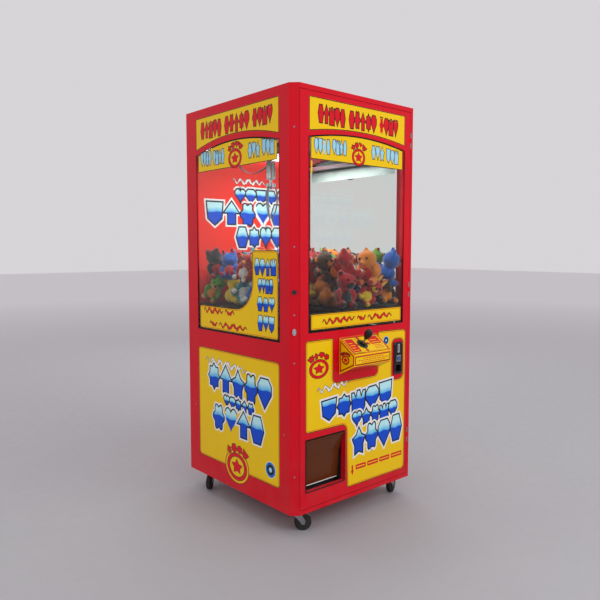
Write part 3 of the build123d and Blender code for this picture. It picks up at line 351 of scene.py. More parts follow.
def mark_height(piece: bpy.types.Object) -> None:
    """Give a flat shape a UV map that runs from 0 to 1 across its own width and height.

    Args:
        piece: A mesh that still lies in its own plane.
    """
    xs = [v.co.x for v in piece.data.vertices]
    ys = [v.co.y for v in piece.data.vertices]
    width = max(max(xs) - min(xs), 1e-6)
    height = max(max(ys) - min(ys), 1e-6)
    layer = piece.data.uv_layers.new(name="print")
    for loop in piece.data.loops:
        spot = piece.data.vertices[loop.vertex_index].co
        layer.data[loop.index].uv = ((spot.x - min(xs)) / width, (spot.y - min(ys)) / height)


def rounded(corners: list[tuple[float, float, float]], step: float = 12.0) -> list[Point2]:
    """Round each corner of a polygon by its own radius.

    Args:
        corners: Points with a radius each, in millimetres.
        step: The angle of one step round a corner, in degrees.

    Returns:
        The outline's points, in metres.
    """
    points = []
    count = len(corners)
    for i, (x, y, radius) in enumerate(corners):
        here = Vector((x, y))
        before = Vector(corners[i - 1][:2]) - here
        after = Vector(corners[(i + 1) % count][:2]) - here
        if radius <= 0:
            points.append((x * MM, y * MM))
            continue
        a, b = before.normalized(), after.normalized()
        half = math.acos(max(-1.0, min(1.0, a.dot(b)))) / 2
        reach = radius / math.tan(half)
        centre = here + (a + b).normalized() * (radius / math.sin(half))
        start, end = here + a * reach - centre, here + b * reach - centre
        sweep = math.atan2(start.x * end.y - start.y * end.x, start.dot(end))
        steps = max(2, int(abs(math.degrees(sweep)) / step))
        for k in range(steps + 1):
            t = sweep * k / steps
            turned = Vector((start.x * math.cos(t) - start.y * math.sin(t),
                             start.x * math.sin(t) + start.y * math.cos(t)))
            spot = centre + turned
            points.append((spot.x * MM, spot.y * MM))
    return points


def rounded_box(x0: float, y0: float, x1: float, y1: float, radius: float) -> list[Point2]:
    """Outline an upright oblong with rounded corners.

    Args:
        x0: Its first edge across, in millimetres.
        y0: Its first edge up.
        x1: Its other edge across.
        y1: Its other edge up.
        radius: Its corners' radius.

    Returns:
        The outline, in metres.
    """
    return rounded([(x0, y0, radius), (x1, y0, radius), (x1, y1, radius), (x0, y1, radius)])


def grown(points: list[Point2], distance: float) -> list[Point2]:
    """Move every side of an outline outwards, or inwards where the distance is negative.

    Args:
        points: The outline, in metres.
        distance: How far it grows, in metres.

    Returns:
        The grown outline.
    """
    area = sum(a[0] * b[1] - b[0] * a[1] for a, b in zip(points, points[1:] + points[:1]))
    sign = 1.0 if area > 0 else -1.0
    result = []
    for i, here in enumerate(points):
        before, after = points[i - 1], points[(i + 1) % len(points)]
        a = Vector((here[0] - before[0], here[1] - before[1]))
        b = Vector((after[0] - here[0], after[1] - here[1]))
        if a.length < 1e-9 or b.length < 1e-9:
            continue
        a.normalize()
        b.normalize()
        normal = Vector((a.y + b.y, -a.x - b.x))
        if normal.length < 1e-6:
            normal = Vector((a.y, -a.x))
        normal.normalize()
        lean = max(0.45, normal.dot(Vector((a.y, -a.x))))
        result.append((here[0] + sign * normal.x * distance / lean,
                       here[1] + sign * normal.y * distance / lean))
    return result


def arched(x0: float, x1: float, low: float, spring: float, rise: float,
           low_rise: float = 0.0, steps: int = 24) -> list[Point2]:
    """Outline a band whose top, and if wanted its foot, rises in an arc.

    Args:
        x0: Left end, in millimetres.
        x1: Right end.
        low: Foot at the ends.
        spring: Top at the ends.
        rise: How much the top's middle is higher than its ends.
        low_rise: How much the foot's middle is higher than its ends.
        steps: The steps in each arc.

    Returns:
        The outline, in metres.
    """
    top = [(x1 + (x0 - x1) * k / steps, spring + rise * 4 * (k / steps) * (1 - k / steps))
           for k in range(steps + 1)]
    foot = [(x0, low), (x1, low)]
    if low_rise:
        foot = [(x0 + (x1 - x0) * k / steps, low + low_rise * 4 * (k / steps) * (1 - k / steps))
                for k in range(steps + 1)]
    return [(x * MM, y * MM) for x, y in foot + top]


def ellipse(x: float, y: float, rx: float, ry: float, steps: int = 40) -> list[Point2]:
    """Outline an ellipse, sizes in millimetres.

    Args:
        x: Middle across.
        y: Middle up.
        rx: Half width.
        ry: Half height.
        steps: The number of points.

    Returns:
        The outline, in metres.
    """
    return [((x + rx * math.cos(2 * math.pi * k / steps)) * MM,
             (y + ry * math.sin(2 * math.pi * k / steps)) * MM) for k in range(steps)]


def spiked(points: int, inner: float) -> list[Point2]:
    """Outline a star in the unit square.

    Args:
        points: The number of its points.
        inner: The inner radius, as a share of the outer one.

    Returns:
        The outline.
    """
    result = []
    for k in range(2 * points):
        radius = 0.5 if k % 2 == 0 else 0.5 * inner
        angle = math.pi / 2 + math.pi * k / points
        result.append((0.5 + radius * math.cos(angle), 0.5 + radius * math.sin(angle)))
    return result


def heart_shape() -> list[Point2]:
    """Outline a heart in the unit square."""
    result = []
    for k in range(36):
        t = 2 * math.pi * k / 36
        x = 16 * math.sin(t) ** 3
        y = 13 * math.cos(t) - 5 * math.cos(2 * t) - 2 * math.cos(3 * t) - math.cos(4 * t)
        result.append((0.5 + x / 33.0, 0.55 + y / 30.0))
    return result[::-1]


def flower_shape() -> list[Point2]:
    """Outline a flower with six shallow petals."""
    turns = [2 * math.pi * k / 72 for k in range(72)]
    reach = [1.0 + 0.16 * math.cos(6 * t) for t in turns]
    return [(r * math.cos(t), r * math.sin(t)) for r, t in zip(reach, turns)]


class Motif(Enum):
    """Simple printed shapes, each drawn in the unit square."""

    STAR = "star"
    HEART = "heart"
    GEM = "gem"
    SHIELD = "shield"
    CROWN = "crown"
    FLOWER = "flower"
    HEXAGON = "hexagon"
    BURST = "burst"
    ARROW = "arrow"

    def outline(self) -> list[Point2]:
        """Return the shape's outline, anticlockwise, filling the unit square."""
        shapes = {
            Motif.STAR: lambda: spiked(5, 0.64),
            Motif.HEART: heart_shape,
            Motif.GEM: lambda: [(0.5, 0.0), (1.0, 0.5), (1.0, 0.78), (0.78, 1.0), (0.22, 1.0),
                                (0.0, 0.78), (0.0, 0.5)],
            Motif.SHIELD: lambda: [(0.5, 0.0), (0.92, 0.28), (1.0, 1.0), (0.0, 1.0), (0.08, 0.28)],
            Motif.CROWN: lambda: [(0.04, 0.0), (0.96, 0.0), (1.0, 0.94), (0.86, 0.94), (0.7, 0.66),
                                  (0.58, 1.0), (0.42, 1.0), (0.3, 0.66), (0.14, 0.94), (0.0, 0.94)],
            Motif.FLOWER: flower_shape,
            Motif.HEXAGON: lambda: [(0.24, 0.0), (0.76, 0.0), (1.0, 0.5), (0.76, 1.0), (0.24, 1.0),
                                    (0.0, 0.5)],
            Motif.BURST: lambda: spiked(8, 0.78),
            Motif.ARROW: lambda: [(0.26, 0.0), (0.74, 0.0), (0.74, 0.5), (1.0, 0.5), (0.5, 1.0),
                                  (0.0, 0.5), (0.26, 0.5)],
        }
        points = shapes[self]()
        xs, ys = [x for x, _ in points], [y for _, y in points]
        wide, tall = max(xs) - min(xs), max(ys) - min(ys)
        return [((x - min(xs)) / wide, (y - min(ys)) / tall) for x, y in points]


def wave_outline(x0: float, x1: float, y: float, swing: float, turns: float,
                 thick: float, climb: float = 0.0) -> list[Point2]:
    """Outline a brushed wavy stroke that swells in its middle.

    Args:
        x0: Left end, in millimetres.
        x1: Right end.
        y: Middle height.
        swing: Height of the waves.
        turns: The number of waves.
        thick: Thickest part of the stroke.
        climb: How much the right end is higher than the left.

    Returns:
        The outline, in metres.
    """
    steps = int(turns * 22)
    upper, lower = [], []
    for k in range(steps + 1):
        t = k / steps
        x = x0 + (x1 - x0) * t
        fade = math.sin(math.pi * t) ** 0.6
        beat = math.sin(2 * math.pi * turns * t + 0.9 * math.sin(7 * t))
        middle = y + climb * t + swing * beat * (1.0 - 0.35 * t)
        half = max(0.5, thick / 2 * fade * (0.7 + 0.3 * math.cos(4 * math.pi * turns * t)))
        upper.append((x * MM, (middle + half) * MM))
        lower.append((x * MM, (middle - half) * MM))
    return lower + upper[::-1]


# ------------------------------------------------------------------ workshop: node helpers
class Tree:
    """Short calls that add and join the nodes of a material or a group."""

    def __init__(self, tree: bpy.types.NodeTree) -> None:
        """Keep the tree that is worked on."""
        self.tree = tree

    def add(self, kind: str, **values: object) -> bpy.types.Node:
        """Add a node; a value may be a plain value or another node's socket.

        Args:
            kind: The node's type.
            values: Its inputs by name, with _ for a space; a name that ends in _ is a setting.

        Returns:
            The node.
        """
        node = self.tree.nodes.new(kind)
        for key, value in values.items():
            if key.endswith("_"):
                setattr(node, key[:-1], value)
        for key, value in values.items():
            if not key.endswith("_"):
                self.feed(node.inputs[key.replace("_", " ")], value)
        return node

    def feed(self, socket: bpy.types.NodeSocket, value: object) -> None:
        """Set an input, or join another node's output to it.

        Args:
            socket: The input.
            value: A plain value or an output.
        """
        if isinstance(value, bpy.types.NodeSocket):
            self.tree.links.new(value, socket)
        else:
            socket.default_value = value

    def math(self, operation: str, a: object, b: object = 0.0) -> bpy.types.NodeSocket:
        """Return the result of a sum on one or two values."""
        node = self.add("ShaderNodeMath", operation_=operation)
        self.feed(node.inputs[0], a)
        self.feed(node.inputs[1], b)
        return node.outputs[0]

    def spread(self, value: object, low: float, high: float, start: float = 0.0,
               end: float = 1.0) -> bpy.types.NodeSocket:
        """Return a value moved from start..end to low..high, and kept between them."""
        node = self.add("ShaderNodeMapRange", Value=value, From_Min=start, From_Max=end,
                        To_Min=low, To_Max=high)
        return node.outputs[0]

    def mix(self, share: object, a: object, b: object) -> bpy.types.NodeSocket:
        """Return two colours mixed by a share."""
        node = self.add("ShaderNodeMix", data_type_="RGBA")
        self.feed(node.inputs[0], share)
        self.feed(node.inputs[6], a)
        self.feed(node.inputs[7], b)
        return node.outputs[2]

    def noise(self, scale: float, detail: float = 2.0, where: object = None) -> bpy.types.NodeSocket:
        """Return noise from 0 to 1 on Object coordinates, or on those given."""
        spot = where or self.add("ShaderNodeTexCoord").outputs["Object"]
        return self.add("ShaderNodeTexNoise", Vector=spot, Scale=scale, Detail=detail).outputs[0]


def group(name: str, inputs: dict[str, float], outputs: list[str]) -> tuple[Tree, dict, dict]:
    """Start a shader node group with named value sockets.

    Args:
        name: The group's name.
        inputs: Its inputs and their usual values.
        outputs: Its outputs.

    Returns:
        The group's tree, its inputs inside and its output sockets inside.
    """
    tree = bpy.data.node_groups.new(name, "ShaderNodeTree")
    for key, value in inputs.items():
        socket = tree.interface.new_socket(name=key, in_out="INPUT", socket_type="NodeSocketFloat")
        socket.default_value = value
    for key in outputs:
        tree.interface.new_socket(name=key, in_out="OUTPUT", socket_type="NodeSocketFloat")
    source = tree.nodes.new("NodeGroupInput")
    drain = tree.nodes.new("NodeGroupOutput")
    return Tree(tree), source.outputs, drain.inputs


def make_grain_group() -> bpy.types.NodeTree:
    """Make the group for the fine grain and broad blotches of a coat or moulding."""
    tree, given, out = group("surface_grain", {"Scale": 900.0, "Stretch": 1.0}, ["Fine", "Broad"])
    spot = tree.add("ShaderNodeTexCoord").outputs["Object"]
    squash = tree.add("ShaderNodeCombineXYZ", X=1.0, Y=1.0, Z=given["Stretch"]).outputs[0]
    pulled = tree.add("ShaderNodeVectorMath", operation_="MULTIPLY")
    tree.feed(pulled.inputs[0], spot)
    tree.feed(pulled.inputs[1], squash)
    fine = tree.add("ShaderNodeTexNoise", Vector=pulled.outputs[0], Scale=given["Scale"], Detail=3.0)
    tree.feed(out["Fine"], fine.outputs[0])
    tree.feed(out["Broad"], tree.noise(3.5, 4.0, spot))
    return tree.tree


def make_dust_group() -> bpy.types.NodeTree:
    """Make the group for dust that settles on faces that look up and near the floor."""
    tree, given, out = group("settled_dust", {"Amount": 0.1}, ["Mask"])
    normal = tree.add("ShaderNodeNewGeometry").outputs["Normal"]
    upward = tree.spread(tree.add("ShaderNodeSeparateXYZ", Vector=normal).outputs[2], 0, 1, 0.35, 1)
    height = tree.add("ShaderNodeTexCoord").outputs["Object"]
    low = tree.spread(tree.add("ShaderNodeSeparateXYZ", Vector=height).outputs[2], 0.7, 0.0, 0.0, 0.5)
    laid = tree.math("MAXIMUM", upward, low)
    patchy = tree.spread(tree.noise(14.0, 6.0), 0.0, 1.6, 0.35, 0.75)
    tree.feed(out["Mask"], tree.math("MULTIPLY", tree.math("MULTIPLY", laid, patchy), given["Amount"]))
    return tree.tree


def make_scuff_group() -> bpy.types.NodeTree:
    """Make the group for short fine scratches and rubbed spots."""
    tree, given, out = group("scuffs", {"Amount": 0.1, "Scale": 60.0}, ["Mask"])
    spot = tree.add("ShaderNodeTexCoord").outputs["Object"]
    marks = []
    for turn in (0.4, 1.9):
        laid = tree.add("ShaderNodeMapping", Vector=spot, Rotation=(turn, 0.7 * turn, turn),
                        Scale=(1.0, 0.06, 1.0))
        ridge = tree.add("ShaderNodeTexNoise", Vector=laid.outputs[0], Scale=given["Scale"], Detail=2.0)
        marks.append(tree.spread(ridge.outputs[0], 0.0, 1.0, 0.70, 0.76))
    worn = tree.spread(tree.noise(6.0, 2.0, spot), 0.0, 1.0, 0.45, 0.7)
    lines = tree.math("MULTIPLY", tree.math("MAXIMUM", *marks), worn)
    tree.feed(out["Mask"], tree.math("MULTIPLY", lines, given["Amount"]))
    return tree.tree


def make_weave_group() -> bpy.types.NodeTree:
    """Make the group for crossing threads, on Object coordinates."""
    tree, given, out = group("braid", {"Pitch": 900.0}, ["Height"])
    spot = tree.add("ShaderNodeTexCoord").outputs["Object"]
    axes = tree.add("ShaderNodeSeparateXYZ", Vector=spot).outputs
    across = tree.math("ADD", axes[0], axes[1])
    strands = []
    for lean in (1.0, -1.0):
        phase = tree.math("ADD", tree.math("MULTIPLY", axes[2], lean), across)
        wave = tree.math("SINE", tree.math("MULTIPLY", phase, given["Pitch"]))
        strands.append(tree.math("ABSOLUTE", wave))
    tree.feed(out["Height"], tree.math("MAXIMUM", *strands))
    return tree.tree


def shared(name: str) -> bpy.types.NodeTree:
    """Return a shared node group, made the first time it is asked for.

    Args:
        name: One of the group names.

    Returns:
        The group.
    """
    makers = {"surface_grain": make_grain_group, "settled_dust": make_dust_group,
              "scuffs": make_scuff_group, "braid": make_weave_group}
    return bpy.data.node_groups.get(name) or makers[name]()


def hue(code: str) -> Colour:
    """Turn a colour such as 'c81020' from screen values into the shader's.

    Args:
        code: Red, green and blue as six hexadecimal digits.

    Returns:
        The colour with an alpha of 1.
    """
    parts = [int(code[i:i + 2], 16) / 255 for i in (0, 2, 4)]
    linear = [c / 12.92 if c <= 0.04045 else ((c + 0.055) / 1.055) ** 2.4 for c in parts]
    return (*linear, 1.0)


# ------------------------------------------------------------------ finishes
DUST = "b9b2a6"


@dataclass(frozen=True)
class Finish:
    """A coated, moulded or bare surface with grain, blotches, dust and scuffs."""

    name: str
    colour: str
    shade: str
    rough: float = 0.4
    metal: float = 0.0
    grain: float = 900.0
    stretch: float = 1.0
    relief: float = 0.00008
    dust: float = 0.05
    scuffs: float = 0.15
    coat: float = 0.0
    sheen: float = 0.0
    tint: float = 0.35
    gloss: float = 0.2

    def colours(self, tree: Tree, broad: bpy.types.NodeSocket) -> bpy.types.NodeSocket:
        """Return the clean surface's colour, which strays a little in broad blotches."""
        share = tree.spread(broad, 0.0, self.tint, 0.35, 0.7)
        return tree.mix(share, hue(self.colour), hue(self.shade))

    def height(self, tree: Tree, fine: bpy.types.NodeSocket) -> bpy.types.NodeSocket:
        """Return the surface's relief."""
        return fine

    def material(self) -> bpy.types.Material:
        """Return the finish as a material, made the first time it is asked for."""
        found = bpy.data.materials.get(self.name)
        if found:
            return found
        material = bpy.data.materials.new(self.name)
        material.use_nodes = True
        material.node_tree.nodes.clear()
        tree = Tree(material.node_tree)
        grain = tree.add("ShaderNodeGroup", node_tree_=shared("surface_grain"),
                         Scale=self.grain, Stretch=self.stretch).outputs
        dust = tree.add("ShaderNodeGroup", node_tree_=shared("settled_dust"),
                        Amount=self.dust).outputs[0]
        scuff = tree.add("ShaderNodeGroup", node_tree_=shared("scuffs"),
                         Amount=self.scuffs).outputs[0]
        clean = self.colours(tree, grain["Broad"])
        marked = tree.mix(scuff, clean, hue(self.shade))
        rough = tree.spread(grain["Fine"], self.rough * 0.85, min(self.rough * 1.2, 1.0), 0.3, 0.7)
        worn = tree.math("ADD", rough, tree.math("MULTIPLY", scuff, 0.5))
        dusty = tree.math("ADD", worn, tree.math("MULTIPLY", dust, 0.6))
        bump = tree.add("ShaderNodeBump", Strength=1.0, Distance=self.relief,
                        Height=self.height(tree, grain["Fine"]))
        shader = tree.add("ShaderNodeBsdfPrincipled", Base_Color=tree.mix(dust, marked, hue(DUST)),
                          Roughness=dusty, Normal=bump.outputs[0])
        shader.inputs["Metallic"].default_value = self.metal
        shader.inputs["Specular IOR Level"].default_value = self.gloss
        shader.inputs["Coat Weight"].default_value = self.coat
        shader.inputs["Coat Roughness"].default_value = 0.12
        shader.inputs["Sheen Weight"].default_value = self.sheen
        shader.inputs["Sheen Roughness"].default_value = 0.5
        output = tree.add("ShaderNodeOutputMaterial")
        tree.tree.links.new(shader.outputs[0], output.inputs["Surface"])
        return material


@dataclass(frozen=True)
class ShadedInk(Finish):
    """A print that runs from a deep foot through a wavy band to a pale top."""

    middle: str = "5cbcf0"

    def colours(self, tree: Tree, broad: bpy.types.NodeSocket) -> bpy.types.NodeSocket:
        """Return the print's colour by its height on its own UV map."""
        spot = tree.add("ShaderNodeUVMap", uv_map_="print").outputs[0]
        axes = tree.add("ShaderNodeSeparateXYZ", Vector=spot).outputs
        ripple = tree.math("MULTIPLY", tree.math("SINE", tree.math("MULTIPLY", axes[0], 38.0)), 0.02)
        level = tree.math("ADD", axes[1], ripple)
        foot = tree.spread(level, 0.0, 1.0, 0.53, 0.57)
        crown = tree.spread(level, 0.0, 1.0, 0.57, 0.76)
        lower = tree.mix(foot, hue(self.shade), hue(self.middle))
        return tree.mix(crown, lower, hue(self.colour))


@dataclass(frozen=True)
class Pile(Finish):
    """Short plush pile, tufted and slightly matted."""

    rough: float = 0.85
    relief: float = 0.0012
    dust: float = 0.0
    sheen: float = 0.5

    def height(self, tree: Tree, fine: bpy.types.NodeSocket) -> bpy.types.NodeSocket:
        """Return tufts under the fine fibres."""
        spot = tree.add("ShaderNodeTexCoord").outputs["Object"]
        tufts = tree.add("ShaderNodeTexVoronoi", Vector=spot, Scale=420.0).outputs["Distance"]
        return tree.math("ADD", tree.math("MULTIPLY", tufts, 0.8), fine)

    def colours(self, tree: Tree, broad: bpy.types.NodeSocket) -> bpy.types.NodeSocket:
        """Return the pile's colour with painted shade: fine patches are darkened towards the shade
        colour, standing in for the shade between its tufts.
        """
        # painted shade: noise patches mix up to 75% of the darker shade colour into the pile
        tufts = tree.noise(260.0, 3.0)
        share = tree.spread(tufts, 0.0, 0.75, 0.35, 0.7)
        return tree.mix(share, hue(self.colour), hue(self.shade))


@dataclass(frozen=True)
class PaintedFalloffFloor(Finish):
    """The studio floor, with painted shading: it is painted darker near its middle, where the machine
    stands, and paler away from it.
    """

    def colours(self, tree: Tree, broad: bpy.types.NodeSocket) -> bpy.types.NodeSocket:
        """Return the floor's colour by its distance from the middle, with faint blotches; the darker
        middle is painted shade and the paler far floor is painted light.
        """
        spot = tree.add("ShaderNodeTexCoord").outputs["Object"]
        axes = tree.add("ShaderNodeSeparateXYZ", Vector=spot).outputs
        squares = [tree.math("MULTIPLY", axis, axis) for axis in axes[:2]]
        away = tree.math("SQRT", tree.math("ADD", *squares))
        # painted shading: darkest within 1.5 m of the middle, palest from 13 m out
        share = tree.math("ADD", tree.spread(away, 0.0, 1.0, 1.5, 13.0),
                          tree.math("MULTIPLY", broad, 0.03))
        return tree.mix(share, hue(self.colour), hue(self.shade))


@dataclass(frozen=True)
class Woven(Finish):
    """A braided cord's threads."""

    def height(self, tree: Tree, fine: bpy.types.NodeSocket) -> bpy.types.NodeSocket:
        """Return the braid's threads."""
        return tree.add("ShaderNodeGroup", node_tree_=shared("braid"), Pitch=1800.0).outputs[0]


@dataclass(frozen=True)
class Board(Finish):
    """Plywood or a lined board with long grain."""

    def colours(self, tree: Tree, broad: bpy.types.NodeSocket) -> bpy.types.NodeSocket:
        """Return the board's colour with grain lines along X."""
        spot = tree.add("ShaderNodeTexCoord").outputs["Object"]
        laid = tree.add("ShaderNodeMapping", Vector=spot, Scale=(1.5, 26.0, 26.0)).outputs[0]
        rings = tree.noise(2.5, 6.0, laid)
        return tree.mix(tree.spread(rings, 0.0, 0.8, 0.35, 0.65), hue(self.colour), hue(self.shade))


@dataclass(frozen=True)
class Circuit(Finish):
    """A circuit board's lacquer over a grid of copper tracks."""

    def colours(self, tree: Tree, broad: bpy.types.NodeSocket) -> bpy.types.NodeSocket:
        """Return green lacquer with lighter tracks."""
        spot = tree.add("ShaderNodeTexCoord").outputs["Object"]
        tracks = tree.add("ShaderNodeTexBrick", Vector=spot, Scale=60.0, Mortar_Size=0.06)
        return tree.mix(tracks.outputs["Fac"], hue(self.colour), hue(self.shade))


@dataclass(frozen=True)
class Glazing:
    """Clear or smoked sheet that lets light through, with faint smears."""

    name: str
    colour: str
    rough: float = 0.02
    ior: float = 1.28
    clear: float = 1.0

    def material(self) -> bpy.types.Material:
        """Return the glazing as a material, made the first time it is asked for."""
        found = bpy.data.materials.get(self.name)
        if found:
            return found
        material = bpy.data.materials.new(self.name)
        material.use_nodes = True
        material.node_tree.nodes.clear()
        tree = Tree(material.node_tree)
        smears = tree.spread(tree.noise(9.0, 5.0), self.rough, self.rough + 0.05, 0.5, 0.8)
        shader = tree.add("ShaderNodeBsdfPrincipled", Roughness=smears)
        shader.inputs["Base Color"].default_value = hue(self.colour)
        shader.inputs["Transmission Weight"].default_value = self.clear
        shader.inputs["IOR"].default_value = self.ior
        clear = tree.add("ShaderNodeBsdfTransparent")
        clear.inputs["Color"].default_value = hue(self.colour)
        ray = tree.add("ShaderNodeLightPath")
        blend = tree.add("ShaderNodeMixShader")
        output = tree.add("ShaderNodeOutputMaterial")
        tree.tree.links.new(ray.outputs["Is Shadow Ray"], blend.inputs[0])
        tree.tree.links.new(shader.outputs[0], blend.inputs[1])
        tree.tree.links.new(clear.outputs[0], blend.inputs[2])
        tree.tree.links.new(blend.outputs[0], output.inputs["Surface"])
        return material


@dataclass(frozen=True)
class Lamp:
    """A lit lamp tube with a frosted, uneven roughness."""

    name: str
    colour: str
    strength: float

    def material(self) -> bpy.types.Material:
        """Return the lamp as a material, made the first time it is asked for."""
        found = bpy.data.materials.get(self.name)
        if found:
            return found
        material = bpy.data.materials.new(self.name)
        material.use_nodes = True
        shader = material.node_tree.nodes["Principled BSDF"]
        tree = Tree(material.node_tree)
        frost = tree.spread(tree.noise(40.0, 3.0), 0.35, 0.55)
        tree.feed(shader.inputs["Roughness"], frost)
        shader.inputs["Base Color"].default_value = hue(self.colour)
        shader.inputs["Emission Color"].default_value = hue(self.colour)
        shader.inputs["Emission Strength"].default_value = self.strength
        return material


RED_PAINT = Finish("red_powder_coat", "dc001e", "c00018", rough=0.36, relief=0.00006, coat=0.06)
RED_INK = Finish("red_ink", "e00a20", "c80818", rough=0.35, relief=0.00003, dust=0.03)
YELLOW = Finish("yellow_vinyl", "f6cc00", "efbc00", rough=0.36, relief=0.00003, dust=0.03, coat=0.05)
ORANGE = Finish("orange_ink", "e05a00", "d04a00", rough=0.36, relief=0.00003, dust=0.05)
BLACK_INK = Finish("black_ink", "16131a", "2a2730", rough=0.38, relief=0.00003, dust=0.05)
WHITE_INK = Finish("white_ink", "f2f3f4", "d9dcdf", rough=0.38, relief=0.00003, dust=0.05)
BLUE_INK = ShadedInk("shaded_blue_ink", "bff0f8", "0a4ccf", rough=0.35, relief=0.00003, dust=0.03)
SKY_INK = Finish("sky_ink", "a6dcf0", "7fc4e4", rough=0.36, relief=0.00003, dust=0.05)
STICKER_BLUE = Finish("sticker_blue", "1470c8", "0c56a0", rough=0.3, relief=0.00003, coat=0.3)
BLACK_PAINT = Finish("black_powder_coat", "1c1c1f", "2c2b2e", rough=0.45)
ZINC = Finish("zinc_plate", "a2a6a9", "7b7f82", rough=0.34, metal=1.0, grain=300.0, scuffs=0.3)
CHROME = Finish("bright_chrome", "dcdfe2", "b8bcc0", rough=0.12, metal=1.0, scuffs=0.1, dust=0.04)
BLACK_PLASTIC = Finish("black_plastic", "1a1a1c", "2b2b2e", rough=0.42, grain=1500.0, relief=0.0001)
BAT_PLASTIC = Finish("joystick_plastic", "141417", "26262a", rough=0.22, relief=0.00003, coat=0.4)
BLUE_PLASTIC = Finish("button_plastic", "4c6590", "3b5076", rough=0.35, coat=0.2)
WHITE_PLASTIC = Finish("white_plastic", "e9e9e6", "cfcfca", rough=0.4, relief=0.00004)
RUBBER = Finish("tyre_rubber", "1d1c1b", "353330", rough=0.75, grain=500.0, relief=0.0002, dust=0.1)
SEAL = Finish("rubber_seal", "121214", "232326", rough=0.65, relief=0.00006)
SHEATH = Finish("cable_sheath", "6f696b", "575254", rough=0.5, grain=1200.0)
CORD = Woven("braided_cord", "c9c9c4", "8e8e88", rough=0.6, relief=0.0003)
DECK = Board("lined_deck", "3a322c", "241f1b", rough=0.6, relief=0.0001)
CIRCUIT = Circuit("circuit_board", "0e5a2e", "7d9a3c", rough=0.35, coat=0.4)
LINING = Finish("red_lining", "f5321e", "ea2416", rough=0.42, relief=0.00003, dust=0.0)
CLEAR_GLASS = Glazing("toughened_glass", "f6fbf8")
ACRYLIC = Glazing("clear_acrylic", "f2f6f7", rough=0.05)
SMOKED = Glazing("smoked_acrylic", "8a4a26", rough=0.08, clear=0.55)
CEILING = Finish("white_ceiling_paint", "e9eaea", "d5d7d8", rough=0.45)
LAMP = Lamp("lit_lamp", "f4f8ff", 3.5)

SLOT_FINISHES = {
    "steel_red": RED_PAINT, "steel_black": BLACK_PAINT, "zinc": ZINC, "chrome": CHROME,
    "glass": CLEAR_GLASS, "acrylic": ACRYLIC, "smoked": SMOKED, "panel_vinyl": YELLOW,
    "black_plastic": BLACK_PLASTIC, "bat_plastic": BAT_PLASTIC, "blue_plastic": BLUE_PLASTIC,
    "white_plastic": WHITE_PLASTIC, "board": DECK, "green_board": CIRCUIT, "tyre": RUBBER,
    "cable": SHEATH, "cord": CORD,
}
NODE_FINISHES = {"lamp_tubes": LAMP, "ceiling_panel": CEILING}


def coat(piece: bpy.types.Object, finish: Finish | Glazing) -> None:
    """Add a finish to a piece's slots."""
    piece.data.materials.append(finish.material())


def dress_cad() -> None:
    """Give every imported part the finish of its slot, or one of its own."""
    for name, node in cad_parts.items():
        for place in node.material_slots:
            slot = place.material.name.split(".")[0] if place.material else ""
            finish = NODE_FINISHES.get(name) or SLOT_FINISHES.get(slot)
            if finish:
                place.material = finish.material()
    LOG.info("dressed %d packed parts", len(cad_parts))


# ------------------------------------------------------------------ the machine's own measures
PANEL_EDGE = 3.67        # upright thickness of the sloping control panel, in millimetres
FILM = 0.15 * MM         # thickness of a vinyl film
INK = 0.03 * MM          # thickness of each printed layer
GLASS_INSET = 2.0        # the glass stands this far behind the steel, in millimetres
CLAW_REACH = 0.128       # how far the lowered claw and a gap reach down, in metres
TOY_GAP = 0.002          # how far a toy stays off the glass, the deck and the guard


@dataclass(frozen=True)
class Face:
    """A flat side, with its own across and up directions."""

    origin: Vector
    across: Vector
    up: Vector

    def plane(self, height: float = 0.0) -> Matrix:
        """Return the place on this face whose Z axis points outwards.

        Args:
            height: The distance above the face, in metres.

        Returns:
            The place as a matrix.
        """
        normal = self.across.cross(self.up).normalized()
        turn = Matrix((self.across, self.up, normal)).transposed().to_4x4()
        return Matrix.Translation(self.origin + normal * height) @ turn

    def spot(self, x: float, y: float, height: float = 0.0) -> Vector:
        """Return a point given in millimetres across and up the face."""
        return self.plane(height) @ Vector((x * MM, y * MM, 0.0))

    def moved(self, height: float) -> "Face":
        """Return a parallel face, some way outwards."""
        return Face(self.plane(height).translation, self.across, self.up)


@dataclass(frozen=True)
class Machine:
    """The cabinet's edges and faces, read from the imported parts, in metres."""

    left: float
    right: float
    front: float
    back: float
    base: float
    top: float

    @classmethod
    def measure(cls) -> "Machine":
        """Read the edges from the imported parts."""
        post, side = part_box("corner_post"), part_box("right_side_panel")
        return cls(post[0][0], side[1][0], post[0][1], side[1][1], post[0][2], post[1][2])

    def front_face(self, height: float = 0.0) -> Face:
        """Return the door's face; across runs from the cabinet's left, up from its underside."""
        origin = Vector((self.left, self.front, self.base))
        return Face(origin, Vector((1, 0, 0)), Vector((0, 0, 1))).moved(height)

    def side_face(self, hand: int, height: float = 0.0) -> Face:
        """Return a side's face; across is 0 at the front edge.

        Args:
            hand: -1 for the left side and 1 for the right side.
            height: The distance outwards.

        Returns:
            The face.
        """
        edge = self.left if hand < 0 else self.right
        origin = Vector((edge, self.front, self.base))
        return Face(origin, Vector((0, hand, 0)), Vector((0, 0, 1))).moved(height)

    def lining_face(self) -> Face:
        """Return the back panel's inner face; across runs from the cabinet's left."""
        origin = Vector((self.left, self.back - 2.0 * MM, self.base))
        return Face(origin, Vector((1, 0, 0)), Vector((0, 0, 1)))

    def panel_face(self) -> Face:
        """Return the sloping control panel's face, from its upper left corner."""
        low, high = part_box("control_panel")
        rise = Vector((0, high[1] - low[1], high[2] - low[2] - PANEL_EDGE * MM)).normalized()
        return Face(Vector((low[0], high[1], high[2])), Vector((1, 0, 0)), rise)



